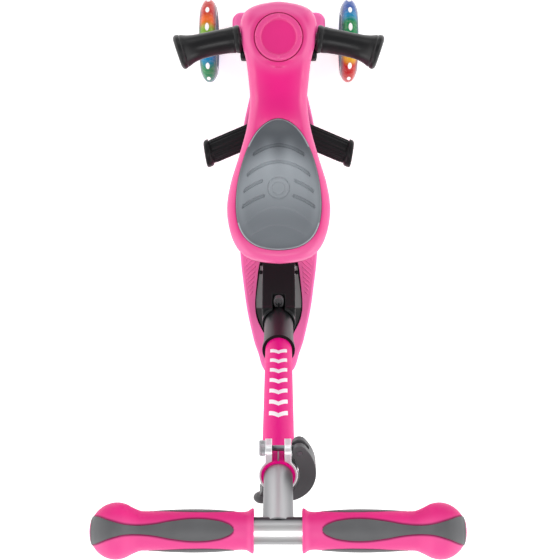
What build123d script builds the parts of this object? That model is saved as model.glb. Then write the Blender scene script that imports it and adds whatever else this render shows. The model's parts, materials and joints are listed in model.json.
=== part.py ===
from build123d import *
from math import asin, cos, degrees, radians, sin
import os

# Toddler kick scooter in its push-handle form: two light-up wheels in front, one wheel
# behind, a seat on a leaning column, and a T-bar plugged in behind the seat.
# Millimetres. +Z is up, the front is towards -Y. While it is modelled, y = 0 is the front
# axle. Each piece is moved by -MID_Y as it is written, so the origin ends up on the floor
# under the middle of the whole object.

# ---- driving sizes ----
WHEEL_D = 121.0          # front wheels
WHEEL_W = 24.0
TRACK = 205.8            # between the middles of the two front wheels
WHEELBASE = 452.0
REAR_D = 80.0
REAR_W = 24.0
DECK_TOP = 85.0
DECK_T = 25.0
COLUMN_LEAN = 8.5        # degrees, top towards the rear
BAR_LEAN = 19.43         # degrees, top towards the rear
BAR_LENGTH = 593.7       # socket floor to the middle of the crossbar
GRIP_END = 179.4         # half of the width over the grips

# ---- clearances ----
GAP = 0.3                # between curved faces that move past each other
FIT = 0.05               # radial, running fit of pins and shafts

# ---- wheels and axles ----
AXLE_R = 4.0
BEARING_R = 11.0
BEARING_W = 7.0
BEARING_SINK = 1.0       # the bearing lies this far inside the wheel's face
HUB_R = 14.5
HUB_BORE_R = 9.5
FRONT_CORE_R = 43.0
REAR_CORE_R = 27.0
RIM_WALL = 4.5
WEB_W = 10.0
TYRE_ROUND = 9.0
LED_IN_R = 17.0
LED_OUT_R = 30.0
LED_W = 5.0
MAGNET_R = 8.0
BEAM_R = 9.0
BEAM_NECK_R = 6.0
HEAD_R = 6.5
HEAD_T = 3.5

# ---- lean-steering pivot ----
KING_TILT = 45.0         # degrees from upright, top towards the front
KING_R = 5.0
SLEEVE_R = 13.0
SLEEVE_HALF = 14.0
BUSH_T = 4.0
LUG_T = 7.0
LUG_HALF_W = 13.0
LUG_FRONT = 9.0
WEB_IN = 16.0
WEB_OUT = 23.0
KING_HEAD_R = 7.0
KING_HEAD_T = 4.5

# ---- backbone, fork and deck ----
SPINE_HALF_W = 13.2
SPINE_LOW = 60.0
SPINE_HIGH = 80.0
SPINE_WALL = 2.0
SPINE_FRONT = 40.0
SPINE_REAR = 404.0
FORK_T = 3.0
FORK_FRONT = 340.0
DECK_FRONT = 26.0
DECK_SCREWS_Y = (110, 300)
DECK_SCREW_R = 2.5
SLOT_FRONT = 315.0
EDGE_ROUND = 4.0         # along the deck's upper edges
NOSE_HALF_W = 67.0
NOSE_FRONT = -32.0
NOSE_WALL = 3.2
NOSE_LOW = 74.0
BEAM_RELIEF_TOP = 82.0    # the cover is open below this where the tilting beam rises
NOSE_TOP = 118.0

# ---- column and seat ----
COLUMN_R = 19.0
COLUMN_WALL = 2.5
COLUMN_FOOT_Y = 13.6
COLUMN_FOOT_Z = 84.0
SOCKET_WALL = 4.0
SOCKET_H = 42.0
COLUMN_START = 14.0      # along the column, from its foot
COLUMN_TOP = 180.0
SEAT_BUTTON_Z = 248.0
SEAT_BUTTON_R = 6.0
BUSH_WALL = 3.2
SEAT_WALL = 4.0
SEAT_ROOF = 8.0
UNDERSIDE_T = 3.0
HEAD_TOP = 300.0
CAP_Y = 45.7
CAP_R = 30.6
CAP_T = 6.0
CAP_SINK = 3.5
CAP_STEM_R = 6.0
PAD_SEAT = 242.0
PAD_TOP = 250.0
PAD_FRONT = 142.7
PAD_REAR = 315.3

# ---- toddler handlebar and footrests ----
SMALL_BAR_Z = 275.0
SMALL_BAR_Y = 40.0
SMALL_BAR_BEND = 415.0
SMALL_BAR_R = 8.0
SMALL_GRIP_R = 15.75
SMALL_GRIP_IN = 49.0
SMALL_GRIP_OUT = 131.0
SMALL_BAR_END = 127.0
SMALL_FLANGE_R = 22.5
SMALL_FLANGE_T = 7.0
FOOT_Y = 129.0
FOOT_Z = 110.0
FOOT_SWEEP = 23.0        # degrees
FOOT_REACH = 115.0       # along the slanted peg, from the middle
FOOT_END_SWEEP = 9.0     # degrees, of the end flange
FOOT_HALF_D = 17.0
FOOT_HALF_H = 12.0
FOOT_FLANGE_R = 19.5
FOOT_FLANGE_T = 6.0
SADDLE_HALF_W = 30.0
SNAP_X = 22.0
SNAP_R = 4.0

# ---- rear dock and T-bar ----
BAR_FOOT_Y = 395.5
BAR_FOOT_Z = 100.0
MOUTH = 62.0             # the dock's mouth, along the T-bar from the socket floor
DOCK_WALL = 3.1
DOCK_FLOOR = 6.0
DOCK_FRONT = 322.0
BARREL_WALL = 2.5
RIM_STEP = 1.6           # the mouth's rim stands this much proud of the sleeve
RIM_T = 8.0
BARREL_TOP = 154.8
NOTCH_HALF_W = 8.5
BUTTON_HALF_W = 7.3
BUTTON_LOW = 38.0
BUTTON_HIGH = 50.0
LOWER_R = 17.5
LOWER_WALL = 1.5
LOWER_START = 60.0
LOWER_TOP = 489.0
UPPER_R = 15.0
UPPER_WALL = 1.6
UPPER_START = 300.0
CROSS_R = 12.9
CROSS_HALF = 168.0
CLAMP_LOW = 461.0
COLLAR_WALL = 2.8
EAR_IN = 6.5
EAR_OUT = 13.5
EAR_REACH = 32.0
BOLT_CLEAR = 4.7         # from the collar to the middle of the clamp bolt
BOLT_R = 3.0
NUT_R = 8.0
NUT_T = 7.5
CAM_X = -22.0
CAM_R = 8.0
CAM_PIN_R = 2.5
LEVER_T = 24.0
GRIP_START = 23.6
INLAY_T = 1.5

# ---- rear brake ----
PIVOT_Y = 343.0
PIVOT_Z = 74.0
PIVOT_R = 2.5
BRAKE_GAP = 4.5
FLAP_T = 3.5
FLAP_HALF_W = 14.8
ARM_LOW = 69.0
ARM_HIGH = 83.0

# ---- sizes that follow ----
AXLE_Z = WHEEL_D / 2
REAR_Z = REAR_D / 2
WHEEL_X = TRACK / 2
FORK_OUT = SPINE_HALF_W + FORK_T
DECK_LOW = DECK_TOP - DECK_T
BULB_R = 26.6            # the widest part of a grip
CROSS_Y = BAR_FOOT_Y + BAR_LENGTH * sin(radians(BAR_LEAN))
MID_Y = (CROSS_Y + BULB_R - WHEEL_D / 2) / 2
CLAMP_MID = (CLAMP_LOW + LOWER_TOP) / 2
BARREL_R = LOWER_R + BARREL_WALL
RIM_R = BARREL_R + RIM_STEP
SOCKET_R = BARREL_R + GAP
DOCK_R = SOCKET_R + DOCK_WALL
COLLAR_R = LOWER_R + COLLAR_WALL
BOLT_OUT = COLLAR_R + BOLT_CLEAR
BUSH_R = COLUMN_R + FIT + BUSH_WALL

# Half-widths of the seat moulding, from its front to its rear
SEAT_OUTLINE = [(5.5, 31), (12, 42), (20, 46.3), (45, 48), (74, 41.5), (96, 39), (116, 37.5),
                (148, 41.4), (189, 52.5), (225, 63.5), (255, 68.6), (289, 65), (315, 53),
                (327, 38)]
SEAT_NOSE_Y = 2.0
SEAT_TAIL_Y = 333.0
# Heights of the moulding's top and bottom along its length
SEAT_TOP_LINE = [(0, 300), (78, 300), (100, 278), (125, 262), (143, 250), (160, 246), (320, 246),
                 (336, 244)]
SEAT_LOW_LINE = [(0, 226), (85, 226), (130, 222), (180, 214), (300, 214), (336, 224)]
PAD_OUTLINE = [(147, 15), (158, 28), (178, 40), (203, 49), (232, 55), (260, 56.5), (283, 53),
               (300, 43.5), (311, 27)]
DECK_OUTLINE = [(26, 33), (60, 37), (90, 43.3), (122, 50.5), (175, 55.4), (245, 57.2), (333, 55),
                (362, 51.5), (406, 45), (428, 40), (450, 34.4), (464, 29.4), (479, 25.3),
                (487, 21)]
SLOT_OUTLINE = [(334, 29.1), (366, 33), (399, 34.3), (418, 29.5), (432, 22.2), (444, 17.4)]
DOCK_SIDE = [(DOCK_FRONT, 80), (DOCK_FRONT, 98), (334, 106), (390, 160), (394, 166), (408, 150),
             (418, 92), (418, 80)]
FORK_SIDE = [(FORK_FRONT, 60), (FORK_FRONT, 72), (404, 73), (466, 50), (466, 30), (438, 29),
             (404, 58)]
GRIP_LINE = [(28, 19.2), (34, 17.8), (50, 18.8), (80, 20.0), (108, 19.2), (128, 18.2),
             (140, 21.8), (153, BULB_R), (168, 24.6), (176, 18.5)]


# ---- frames that the pieces are built in ----
def leaning(y, z, lean):
    """A frame whose Z leans by that many degrees from upright, top towards +Y."""
    up = (0, sin(radians(lean)), cos(radians(lean)))
    return Plane(origin=(0, y, z), x_dir=(1, 0, 0), z_dir=up).location


STEER = leaning(0, AXLE_Z, -KING_TILT)
COLUMN = leaning(COLUMN_FOOT_Y, COLUMN_FOOT_Z, COLUMN_LEAN)
BAR = leaning(BAR_FOOT_Y, BAR_FOOT_Z, BAR_LEAN)


# ---- small shapes that repeat ----
def rod(radius, low, high):
    """A cylinder along Z."""
    return Pos(0, 0, (low + high) / 2) * Cylinder(radius, high - low)


def pipe(outer, inner, low, high):
    """A tube along Z."""
    return rod(outer, low, high) - rod(inner, low, high)


def across(radius, left, right, y=0, z=0):
    """A cylinder along X."""
    return Pos((left + right) / 2, y, z) * Rot(0, 90, 0) * Cylinder(radius, right - left)


def block(x, y, z):
    """A box from three (low, high) pairs."""
    size = Box(x[1] - x[0], y[1] - y[0], z[1] - z[0])
    return Pos((x[0] + x[1]) / 2, (y[0] + y[1]) / 2, (z[0] + z[1]) / 2) * size


def side_plate(points, half_width):
    """A (y, z) outline made into a plate that spans x = -half_width .. half_width."""
    face = make_face(Polyline(*[(0, y, z) for y, z in points], close=True))
    return extrude(face, half_width, dir=(1, 0, 0), both=True)


def round_plan(points, front, rear, low, high, inset=0.0):
    """A plate from half-widths along y, closed by a round nose and tail."""
    near = [(half - inset, y) for y, half in points]
    far = [(-x, y) for x, y in reversed(near)]
    ring = [(0, front + inset)] + near + [(0, rear - inset)] + far
    outline = Spline(*ring, periodic=True)
    return Pos(0, 0, low) * extrude(make_face(outline), high - low, dir=(0, 0, 1))


def flat_plan(points, low, high):
    """A plate from half-widths along y, with straight ends."""
    right = Spline(*[(half, y) for y, half in points])
    left = Spline(*[(-half, y) for y, half in points])
    front = Line(left @ 0, right @ 0)
    rear = Line(right @ 1, left @ 1)
    face = make_face([right, rear, left, front])
    return Pos(0, 0, low) * extrude(face, high - low, dir=(0, 0, 1))


def both_sides(shape):
    """The shape and its mirror image across the middle plane."""
    return [shape, mirror(shape, about=Plane.YZ)]


def group(shapes):
    """Separate solids that share one node."""
    return Compound(children=list(shapes))


# ---- wheels ----
def tyre(radius, core_radius, width):
    ring = across(radius, -width / 2, width / 2)
    ring = fillet(ring.edges().filter_by(GeomType.CIRCLE), TYRE_ROUND)
    return ring - across(core_radius, -width, width)


def wheel_core(core_radius, width, lights):
    half = width / 2 - BEARING_SINK / 2
    rim = across(core_radius, -half, half) - across(core_radius - RIM_WALL, -half, half)
    web = across(core_radius - RIM_WALL, -WEB_W / 2, WEB_W / 2)
    hub = across(HUB_R, -half, half)
    core = rim + web + hub - across(HUB_BORE_R, -half, half)
    for seat in bearing_pair(width):
        core -= seat
    core -= across(AXLE_R, -half, half)
    if lights:
        core -= led_ring()
        core -= Pos(LED_W, 0, 0) * led_ring()
    holes = across(2.5, -WEB_W, WEB_W, core_radius - RIM_WALL - 4.0, 0)
    for turn in range(8):
        core -= Rot(45 * turn, 0, 0) * holes
    return core


def bearing_pair(width):
    outer = width / 2 - BEARING_SINK
    ring = across(BEARING_R, outer - BEARING_W, outer) - across(AXLE_R + FIT, 0, width)
    return both_sides(ring)


def led_ring():
    return across(LED_OUT_R, -LED_W / 2, LED_W / 2) - across(LED_IN_R, -LED_W, LED_W)


def front_wheel(side):
    """Tyre, core, lights and bearings of one front wheel. side is +1 or -1."""
    place = Pos(side * WHEEL_X, 0, AXLE_Z)
    return {"tyre": place * tyre(WHEEL_D / 2, FRONT_CORE_R, WHEEL_W),
            "core": place * wheel_core(FRONT_CORE_R, WHEEL_W, True),
            "led_ring": place * led_ring(),
            "bearings": group(place * ring for ring in bearing_pair(WHEEL_W))}


def rear_wheel():
    place = Pos(0, WHEELBASE, REAR_Z)
    return {"rear_tyre": place * tyre(REAR_D / 2, REAR_CORE_R, REAR_W),
            "rear_core": place * wheel_core(REAR_CORE_R, REAR_W, False),
            "rear_bearings": group(place * ring for ring in bearing_pair(REAR_W))}


# ---- front axle and lean steering ----
def axle_beam():
    end = WHEEL_X - WHEEL_W / 2 + BEARING_SINK - 0.2
    shoulder = end - 6.0
    beam = across(BEAM_R, -shoulder, shoulder) + across(BEAM_NECK_R, -end, end)
    beam = Pos(0, 0, AXLE_Z) * beam + STEER * rod(SLEEVE_R, -SLEEVE_HALF, SLEEVE_HALF)
    beam -= STEER * rod(KING_R + FIT, -2 * SLEEVE_HALF, 2 * SLEEVE_HALF)
    for bolt in both_sides(across(AXLE_R, end - 40.0, end, 0, AXLE_Z)):
        beam -= bolt
    return beam


def steer_bush():
    return STEER * pipe(SLEEVE_R - 1.0, KING_R + GAP, SLEEVE_HALF, SLEEVE_HALF + BUSH_T)


def front_axle_bolts():
    face = WHEEL_X + WHEEL_W / 2 - BEARING_SINK + 0.1
    start = WHEEL_X - WHEEL_W / 2 + BEARING_SINK - 40.2
    bolt = across(AXLE_R, start, face, 0, AXLE_Z) + across(HEAD_R, face, face + HEAD_T, 0, AXLE_Z)
    bolt -= across(2.5, face + 1.0, face + HEAD_T, 0, AXLE_Z)
    return group(both_sides(bolt))


def magnet_cores():
    half = WHEEL_W / 2 - BEARING_SINK - BEARING_W - 0.1
    ring = across(MAGNET_R, -half, half) - across(AXLE_R, -half, half)
    return group(both_sides(Pos(WHEEL_X, 0, AXLE_Z) * ring))


def front_casting():
    """Yoke for the kingpin, receiver for the backbone and socket for the column."""
    low = -SLEEVE_HALF - GAP - LUG_T
    high = SLEEVE_HALF + BUSH_T + GAP + LUG_T
    wide = (-LUG_HALF_W, LUG_HALF_W)
    lugs = block(wide, (-LUG_FRONT, WEB_OUT), (low, low + LUG_T))
    lugs += block(wide, (-LUG_FRONT, WEB_OUT), (high - LUG_T, high))
    web = block(wide, (WEB_IN, WEB_OUT), (low, high))
    casting = STEER * (lugs + web)
    casting += block((-FORK_OUT, FORK_OUT), (22, 70), (SPINE_LOW - 4, COLUMN_FOOT_Z))
    socket_r = COLUMN_R + SOCKET_WALL
    casting += COLUMN * rod(socket_r, -4, SOCKET_H)
    casting -= STEER * rod(SLEEVE_R + 2, low + LUG_T, high - LUG_T)
    casting -= STEER * rod(KING_R, 2 * low, 2 * high)
    casting -= COLUMN * rod(COLUMN_R, COLUMN_START, SOCKET_H)
    casting -= spine_block(0)
    return casting


def kingpin_bolt():
    low = -SLEEVE_HALF - GAP - LUG_T
    high = SLEEVE_HALF + BUSH_T + GAP + LUG_T
    bolt = rod(KING_R, low - 6.0, high) + rod(KING_HEAD_R, high, high + KING_HEAD_T)
    bolt -= rod(2.5, high + 1.5, high + KING_HEAD_T)
    return STEER * bolt


def kingpin_nut():
    low = -SLEEVE_HALF - GAP - LUG_T
    nut = extrude(RegularPolygon(KING_HEAD_R + 1, 6), 5.0) - rod(KING_R, -1, 6)
    return STEER * Pos(0, 0, low - 5.0) * nut


def nose_form(inset):
    """The outside of the nose cover, or its inside when inset is its wall."""
    bottom = NOSE_LOW if inset == 0 else NOSE_LOW - 10
    low_top = NOSE_TOP - 6 - inset
    top = NOSE_TOP - inset
    arms = block((inset - NOSE_HALF_W, NOSE_HALF_W - inset), (NOSE_FRONT + inset, 6 - inset),
                 (bottom, low_top))
    arms = fillet(arms.edges().filter_by(Axis.Z), 13 - inset)
    arms = fillet(arms.faces().sort_by(Axis.Z)[-1].edges(), 8 - inset)
    middle = block((inset - 36, 36 - inset), (NOSE_FRONT + inset, 78 - inset), (bottom, top))
    middle = fillet(middle.edges().filter_by(Axis.Z), 13 - inset)
    middle = fillet(middle.faces().sort_by(Axis.Z)[-1].edges(), 8 - inset)
    return arms + middle


def nose_housing():
    cover = nose_form(0) - nose_form(NOSE_WALL)
    cover -= block((-90, 90), (DECK_FRONT, 100), (0, DECK_TOP))
    cover -= COLUMN * rod(COLUMN_R + SOCKET_WALL + GAP, 10, 60)
    for relief in both_sides(block((28, 51), (-20, 20), (0, BEAM_RELIEF_TOP))):
        cover -= relief
    for notch in both_sides(block((50, 90), (NOSE_FRONT + 5, 30), (0, 92))):
        cover -= notch
    for boss in both_sides(Pos(26, 60, 0) * rod(5, DECK_TOP, NOSE_TOP - 1)):
        cover += boss
    for hole in housing_screw_solids():
        cover -= hole
    return cover


def housing_screw_solids():
    screw = Pos(26, 60, 0) * (rod(2, DECK_LOW + 8, DECK_TOP + 20))
    return both_sides(screw)


# ---- backbone, fork and deck ----
def spine_block(wall):
    wide = SPINE_HALF_W - wall
    return block((-wide, wide), (SPINE_FRONT, SPINE_REAR), (SPINE_LOW + wall, SPINE_HIGH - wall))


def backbone():
    tube = spine_block(0) - spine_block(SPINE_WALL)
    tube -= block((-SPINE_HALF_W + SPINE_WALL, SPINE_HALF_W - SPINE_WALL), (0, WHEELBASE),
                  (SPINE_LOW + SPINE_WALL, SPINE_HIGH - SPINE_WALL))
    tube -= across(PIVOT_R, -30, 30, PIVOT_Y, PIVOT_Z)
    for screw in dock_screw_solids():
        tube -= screw
    for y in DECK_SCREWS_Y:
        tube -= Pos(0, y, 0) * rod(DECK_SCREW_R, SPINE_LOW + SPINE_WALL, DECK_TOP)
    return tube


def fork_plates():
    solid = side_plate(FORK_SIDE, FORK_OUT)
    solid -= block((-SPINE_HALF_W, SPINE_HALF_W), (300, 500), (0, 100))
    solid -= across(AXLE_R, -30, 30, WHEELBASE, REAR_Z)
    solid -= across(PIVOT_R, -30, 30, PIVOT_Y, PIVOT_Z)
    return group(solid.solids())


def slot_form():
    """The open slot in the rear of the deck, for the dock, the brake and the wheel."""
    front = [(SLOT_FRONT, 24.5)]
    rear = [(456, FORK_OUT + 0.1), (500, FORK_OUT + 0.1)]
    return flat_plan(front + SLOT_OUTLINE + rear, DECK_LOW - 1, DECK_TOP + 1)


def deck_board():
    board = flat_plan(DECK_OUTLINE, DECK_LOW, DECK_TOP)
    sides = board.faces().sort_by(Axis.Z)[-1].edges().sort_by(Edge.length.fget)[-2:]
    board = fillet(sides, EDGE_ROUND)
    board -= slot_form()
    board -= block((-SPINE_HALF_W, SPINE_HALF_W), (0, 400), (0, SPINE_HIGH))
    board -= block((-FORK_OUT, FORK_OUT), (0, 70), (0, COLUMN_FOOT_Z))
    board -= COLUMN * rod(COLUMN_R + SOCKET_WALL, -5, 30)
    board -= STEER * block((-LUG_HALF_W, LUG_HALF_W), (0, WEB_OUT), (-40, 40))
    for row in range(6):
        y = 78 + 38 * row
        for pocket in both_sides(block((FORK_OUT, 38), (y, y + 34), (0, DECK_TOP - 4.5))):
            board -= pocket
    for hole in snap_holes() + housing_screw_solids() + deck_screw_solids():
        board -= hole
    return board


def deck_screw_solids():
    shaft = rod(DECK_SCREW_R, SPINE_HIGH - SPINE_WALL - 6, DECK_TOP - 2.5)
    head = rod(4.5, DECK_TOP - 2.5, DECK_TOP)
    return [Pos(0, y, 0) * (shaft + head) for y in DECK_SCREWS_Y]


def deck_screws():
    return group(deck_screw_solids())


def rear_axle_bolt():
    bolt = across(AXLE_R, -FORK_OUT, FORK_OUT + 5.0, WHEELBASE, REAR_Z)
    head = across(HEAD_R, -FORK_OUT - 4.0, -FORK_OUT, WHEELBASE, REAR_Z)
    return bolt + head - across(2.5, -FORK_OUT - 4.0, -FORK_OUT - 1.5, WHEELBASE, REAR_Z)


def rear_axle_nut():
    nut = extrude(RegularPolygon(HEAD_R + 1, 6), 4.5)
    nut = Pos(FORK_OUT, WHEELBASE, REAR_Z) * Rot(0, 90, 0) * nut
    return nut - across(AXLE_R, 0, 30, WHEELBASE, REAR_Z)


def rear_spacers():
    start = REAR_W / 2 - BEARING_SINK + GAP
    ring = across(BEAM_NECK_R, start, SPINE_HALF_W, WHEELBASE, REAR_Z)
    ring -= across(AXLE_R, 0, 30, WHEELBASE, REAR_Z)
    return group(both_sides(ring))


# ---- rear brake ----
def brake_flap():
    """Two arms round the dock that meet in a curved flap over the rear tyre."""
    plan = [(334, 27.2), (366, 31.2), (399, 32.4), (414, 28.5), (428, 21.5), (438, FLAP_HALF_W)]
    arms = flat_plan(plan, ARM_LOW, ARM_HIGH)
    inner = REAR_D / 2 + BRAKE_GAP
    flap = across(inner + FLAP_T, -FLAP_HALF_W, FLAP_HALF_W, WHEELBASE, REAR_Z)
    flap &= block((-20, 20), (425, 489), (ARM_LOW, 100))
    brake = arms + flap - across(inner, -40, 40, WHEELBASE, REAR_Z)
    brake -= block((-DOCK_R - 0.7, DOCK_R + 0.7), (300, 421), (0, 100))
    return brake - across(PIVOT_R + FIT, -40, 40, PIVOT_Y, PIVOT_Z)


def brake_pin():
    return across(PIVOT_R, -28.0, 28.0, PIVOT_Y, PIVOT_Z)


def brake_spring():
    """Coil round the pin, between the fork plate and the brake's left arm."""
    wire = 0.7
    radius = PIVOT_R + wire + 0.6
    coil = Helix(1.5, 4.5, radius)
    ring = Plane(origin=coil @ 0, z_dir=coil % 0) * Circle(wire)
    spring = sweep(ring, path=coil, is_frenet=True)
    return Pos(FORK_OUT + 1.2, PIVOT_Y, PIVOT_Z) * Rot(0, 90, 0) * spring


# ---- column and seat ----
def column_tube():
    return COLUMN * pipe(COLUMN_R, COLUMN_R - COLUMN_WALL, COLUMN_START, COLUMN_TOP)


def seat_form(inset, roof, floor):
    """The seat moulding's outside, or the space inside it."""
    plan = round_plan(SEAT_OUTLINE, SEAT_NOSE_Y, SEAT_TAIL_Y, 200, 320, inset)
    top = [(y, z - roof) for y, z in SEAT_TOP_LINE]
    low = [(y, z - floor) for y, z in reversed(SEAT_LOW_LINE)]
    return plan & side_plate(top + low, 90)


def pad_form(low, high, grow=0.0):
    return round_plan(PAD_OUTLINE, PAD_FRONT, PAD_REAR, low, high, -grow)


def cap_recess():
    return Pos(0, CAP_Y, 0) * rod(CAP_R + 0.6, HEAD_TOP - CAP_SINK, HEAD_TOP + 10)


def seat_body():
    body = seat_form(0, 0, 0)
    body -= seat_form(SEAT_WALL, SEAT_ROOF, 5.0)
    body -= pad_form(PAD_SEAT, PAD_TOP + 10, 0.4)
    body -= cap_recess()
    body -= Pos(0, CAP_Y, 0) * rod(CAP_STEM_R + GAP, HEAD_TOP - 20, HEAD_TOP)
    body -= small_bar_solid(SMALL_BAR_R, 0, 60)
    body -= small_bar_solid(SMALL_BAR_R, 0, -60)
    body -= Pos(0, 0, SEAT_BUTTON_Z) * Rot(90, 0, 0) * Cylinder(SEAT_BUTTON_R + GAP, 30)
    inside = seat_form(SEAT_WALL, SEAT_ROOF, 0) & above_underside()
    for screw in seat_screw_solids():
        body += Pos(*screw) * rod(5.5, 0, 40) & inside
        body -= Pos(*screw) * rod(2, 0, 16)
    return body


def above_underside():
    """All the space over the underside plate, where the screw posts stand."""
    low = [(y, z + UNDERSIDE_T) for y, z in SEAT_LOW_LINE]
    high = [(y, z + 200) for y, z in reversed(SEAT_LOW_LINE)]
    return side_plate(low + high, 90)


def seat_underside():
    plate = seat_form(SEAT_WALL, 0, 0)
    plate -= above_underside()
    plate -= COLUMN * rod(BUSH_R, 60, 200)
    for screw in seat_screw_solids():
        plate -= Pos(*screw) * rod(2, -10, 16)
    return plate


def seat_screw_solids():
    """Feet of the four screws that hold the underside."""
    return [(20, 160, 216.5), (-20, 160, 216.5), (25, 290, 214), (-25, 290, 214)]


def seat_screws():
    screw = rod(2, 0, 14) + rod(4, -2.5, 0)
    return group(Pos(*foot) * screw for foot in seat_screw_solids())


def column_bush():
    """Guide sleeve that carries the seat on the column, with a flange over the underside."""
    sleeve = pipe(BUSH_R, COLUMN_R + FIT, 137, 176) + pipe(BUSH_R + 4, COLUMN_R + FIT, 151, 154)
    return COLUMN * sleeve


def seat_pad():
    return pad_form(PAD_SEAT, PAD_TOP)


def cap():
    disc = rod(CAP_R, HEAD_TOP - CAP_SINK + GAP, HEAD_TOP - CAP_SINK + CAP_T)
    disc = fillet(disc.edges().filter_by(GeomType.CIRCLE).sort_by(Axis.Z)[-1], 2.0)
    return Pos(0, CAP_Y, 0) * (disc + rod(CAP_STEM_R, HEAD_TOP - 14, HEAD_TOP))


def seat_button():
    button = Cylinder(SEAT_BUTTON_R, 13.0)
    return Pos(0, 4.5, SEAT_BUTTON_Z) * Rot(90, 0, 0) * button


# ---- toddler handlebar ----
def small_bar_solid(radius, start, end):
    """A rod along the bar's bend, between two distances from the middle plane."""
    centre = (0, SMALL_BAR_Y + SMALL_BAR_BEND, SMALL_BAR_Z)
    first = degrees(asin(start / SMALL_BAR_BEND))
    last = degrees(asin(end / SMALL_BAR_BEND))
    path = CenterArc(centre, SMALL_BAR_BEND, 270 + first, last - first)
    ring = Plane(origin=path @ 0, z_dir=path % 0) * Circle(radius)
    return sweep(ring, path=path)


def toddler_bar():
    left = small_bar_solid(SMALL_BAR_R, 0, SMALL_BAR_END)
    return left + small_bar_solid(SMALL_BAR_R, 0, -SMALL_BAR_END)


def toddler_grips():
    grip = small_bar_solid(SMALL_GRIP_R, SMALL_GRIP_IN, SMALL_GRIP_OUT)
    grip += small_bar_solid(SMALL_FLANGE_R, SMALL_GRIP_OUT - SMALL_FLANGE_T, SMALL_GRIP_OUT)
    grip += small_bar_solid(SMALL_GRIP_R + 2, SMALL_GRIP_IN, SMALL_GRIP_IN + 4)
    grip -= small_bar_solid(SMALL_BAR_R, SMALL_GRIP_IN - 5, SMALL_BAR_END)
    return group(both_sides(grip))


def toddler_hub():
    """Block that holds the small bar under the roof of the head."""
    hub = block((-26, 26), (SMALL_BAR_Y - 13, SMALL_BAR_Y + 15),
                (SMALL_BAR_Z - 10, HEAD_TOP - SEAT_ROOF))
    hub -= small_bar_solid(SMALL_BAR_R, 0, 60)
    hub -= small_bar_solid(SMALL_BAR_R, 0, -60)
    return hub - Pos(0, CAP_Y, 0) * rod(CAP_STEM_R + GAP, HEAD_TOP - 15, HEAD_TOP)


# ---- footrests ----
def foot_peg():
    peg = extrude(Plane.YZ * Ellipse(FOOT_HALF_D, FOOT_HALF_H), FOOT_REACH, dir=(1, 0, 0))
    flange = across(FOOT_FLANGE_R, -FOOT_FLANGE_T, 0)
    peg += Pos(FOOT_REACH, 0, 0) * Rot(0, 0, FOOT_END_SWEEP - FOOT_SWEEP) * flange
    return Pos(0, FOOT_Y, FOOT_Z) * Rot(0, 0, FOOT_SWEEP) * peg


def footrest():
    """One V-shaped piece: a saddle on the deck and a peg to each side."""
    saddle = block((-SADDLE_HALF_W, SADDLE_HALF_W), (FOOT_Y - 18, FOOT_Y + 30),
                   (DECK_TOP, FOOT_Z + FOOT_HALF_H - 2))
    saddle = fillet(saddle.edges().filter_by(Axis.Z), 8)
    for peg in both_sides(foot_peg()):
        saddle += peg
    for pin in both_sides(Pos(SNAP_X, FOOT_Y + 6, 0) * rod(SNAP_R, DECK_TOP - 9, DECK_TOP)):
        saddle += pin
    return saddle


def snap_holes():
    return both_sides(Pos(SNAP_X, FOOT_Y + 6, 0) * rod(SNAP_R + GAP, DECK_TOP - 12, DECK_TOP + 1))


# ---- rear dock ----
def rear_dock():
    dock = side_plate(DOCK_SIDE, DOCK_R)
    dock += BAR * rod(DOCK_R, -DOCK_FLOOR, MOUTH)
    dock -= block((-40, 40), (300, 480), (0, SPINE_HIGH))
    dock -= BAR * rod(SOCKET_R, 0, MOUTH + 20)
    dock -= BAR * block((-NOTCH_HALF_W, NOTCH_HALF_W), (-60, -SOCKET_R + 4), (BUTTON_LOW - 4, 90))
    for screw in dock_screw_solids():
        dock -= screw
    return dock


def dock_screw_solids():
    """Two screws down through the front of the dock into the backbone."""
    screw = Pos(8, 328, 0) * (rod(2, 68, 92) + rod(3.8, 92, 95))
    return both_sides(screw)


def dock_screws():
    return group(dock_screw_solids())


def bar_button():
    """Spring button in the T-bar's foot that stands out through the dock's notch."""
    face = SlotOverall(2 * BUTTON_HALF_W, BUTTON_HIGH - BUTTON_LOW)
    plane = Plane(origin=(0, -27, (BUTTON_LOW + BUTTON_HIGH) / 2), x_dir=(1, 0, 0), z_dir=(0, 1, 0))
    return BAR * extrude(plane * face, 15.0, dir=(0, 1, 0))


# ---- T-bar ----
def bar_sleeve():
    sleeve = rod(BARREL_R, 0, BARREL_TOP) + rod(RIM_R, BARREL_TOP - RIM_T, BARREL_TOP)
    sleeve -= rod(LOWER_R, LOWER_START, BARREL_TOP)
    sleeve -= rod(LOWER_R - 2.5, 4, LOWER_START)
    hole = block((-BUTTON_HALF_W - GAP, BUTTON_HALF_W + GAP), (-30, 0),
                 (BUTTON_LOW - GAP, BUTTON_HIGH + GAP))
    return BAR * (sleeve - hole)


def lower_tube():
    tube = pipe(LOWER_R, LOWER_R - LOWER_WALL, LOWER_START, LOWER_TOP)
    tube -= block((-1.5, 1.5), (-30, 0), (CLAMP_LOW - 6, LOWER_TOP))
    return BAR * tube


def tube_bush():
    bush = pipe(LOWER_R - LOWER_WALL, UPPER_R + FIT, CLAMP_LOW - 30, LOWER_TOP)
    bush -= block((-0.8, 0.8), (-30, 0), (CLAMP_LOW - 31, LOWER_TOP))
    return BAR * (bush + pipe(LOWER_R, UPPER_R + FIT, LOWER_TOP, LOWER_TOP + 1.5))


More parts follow.
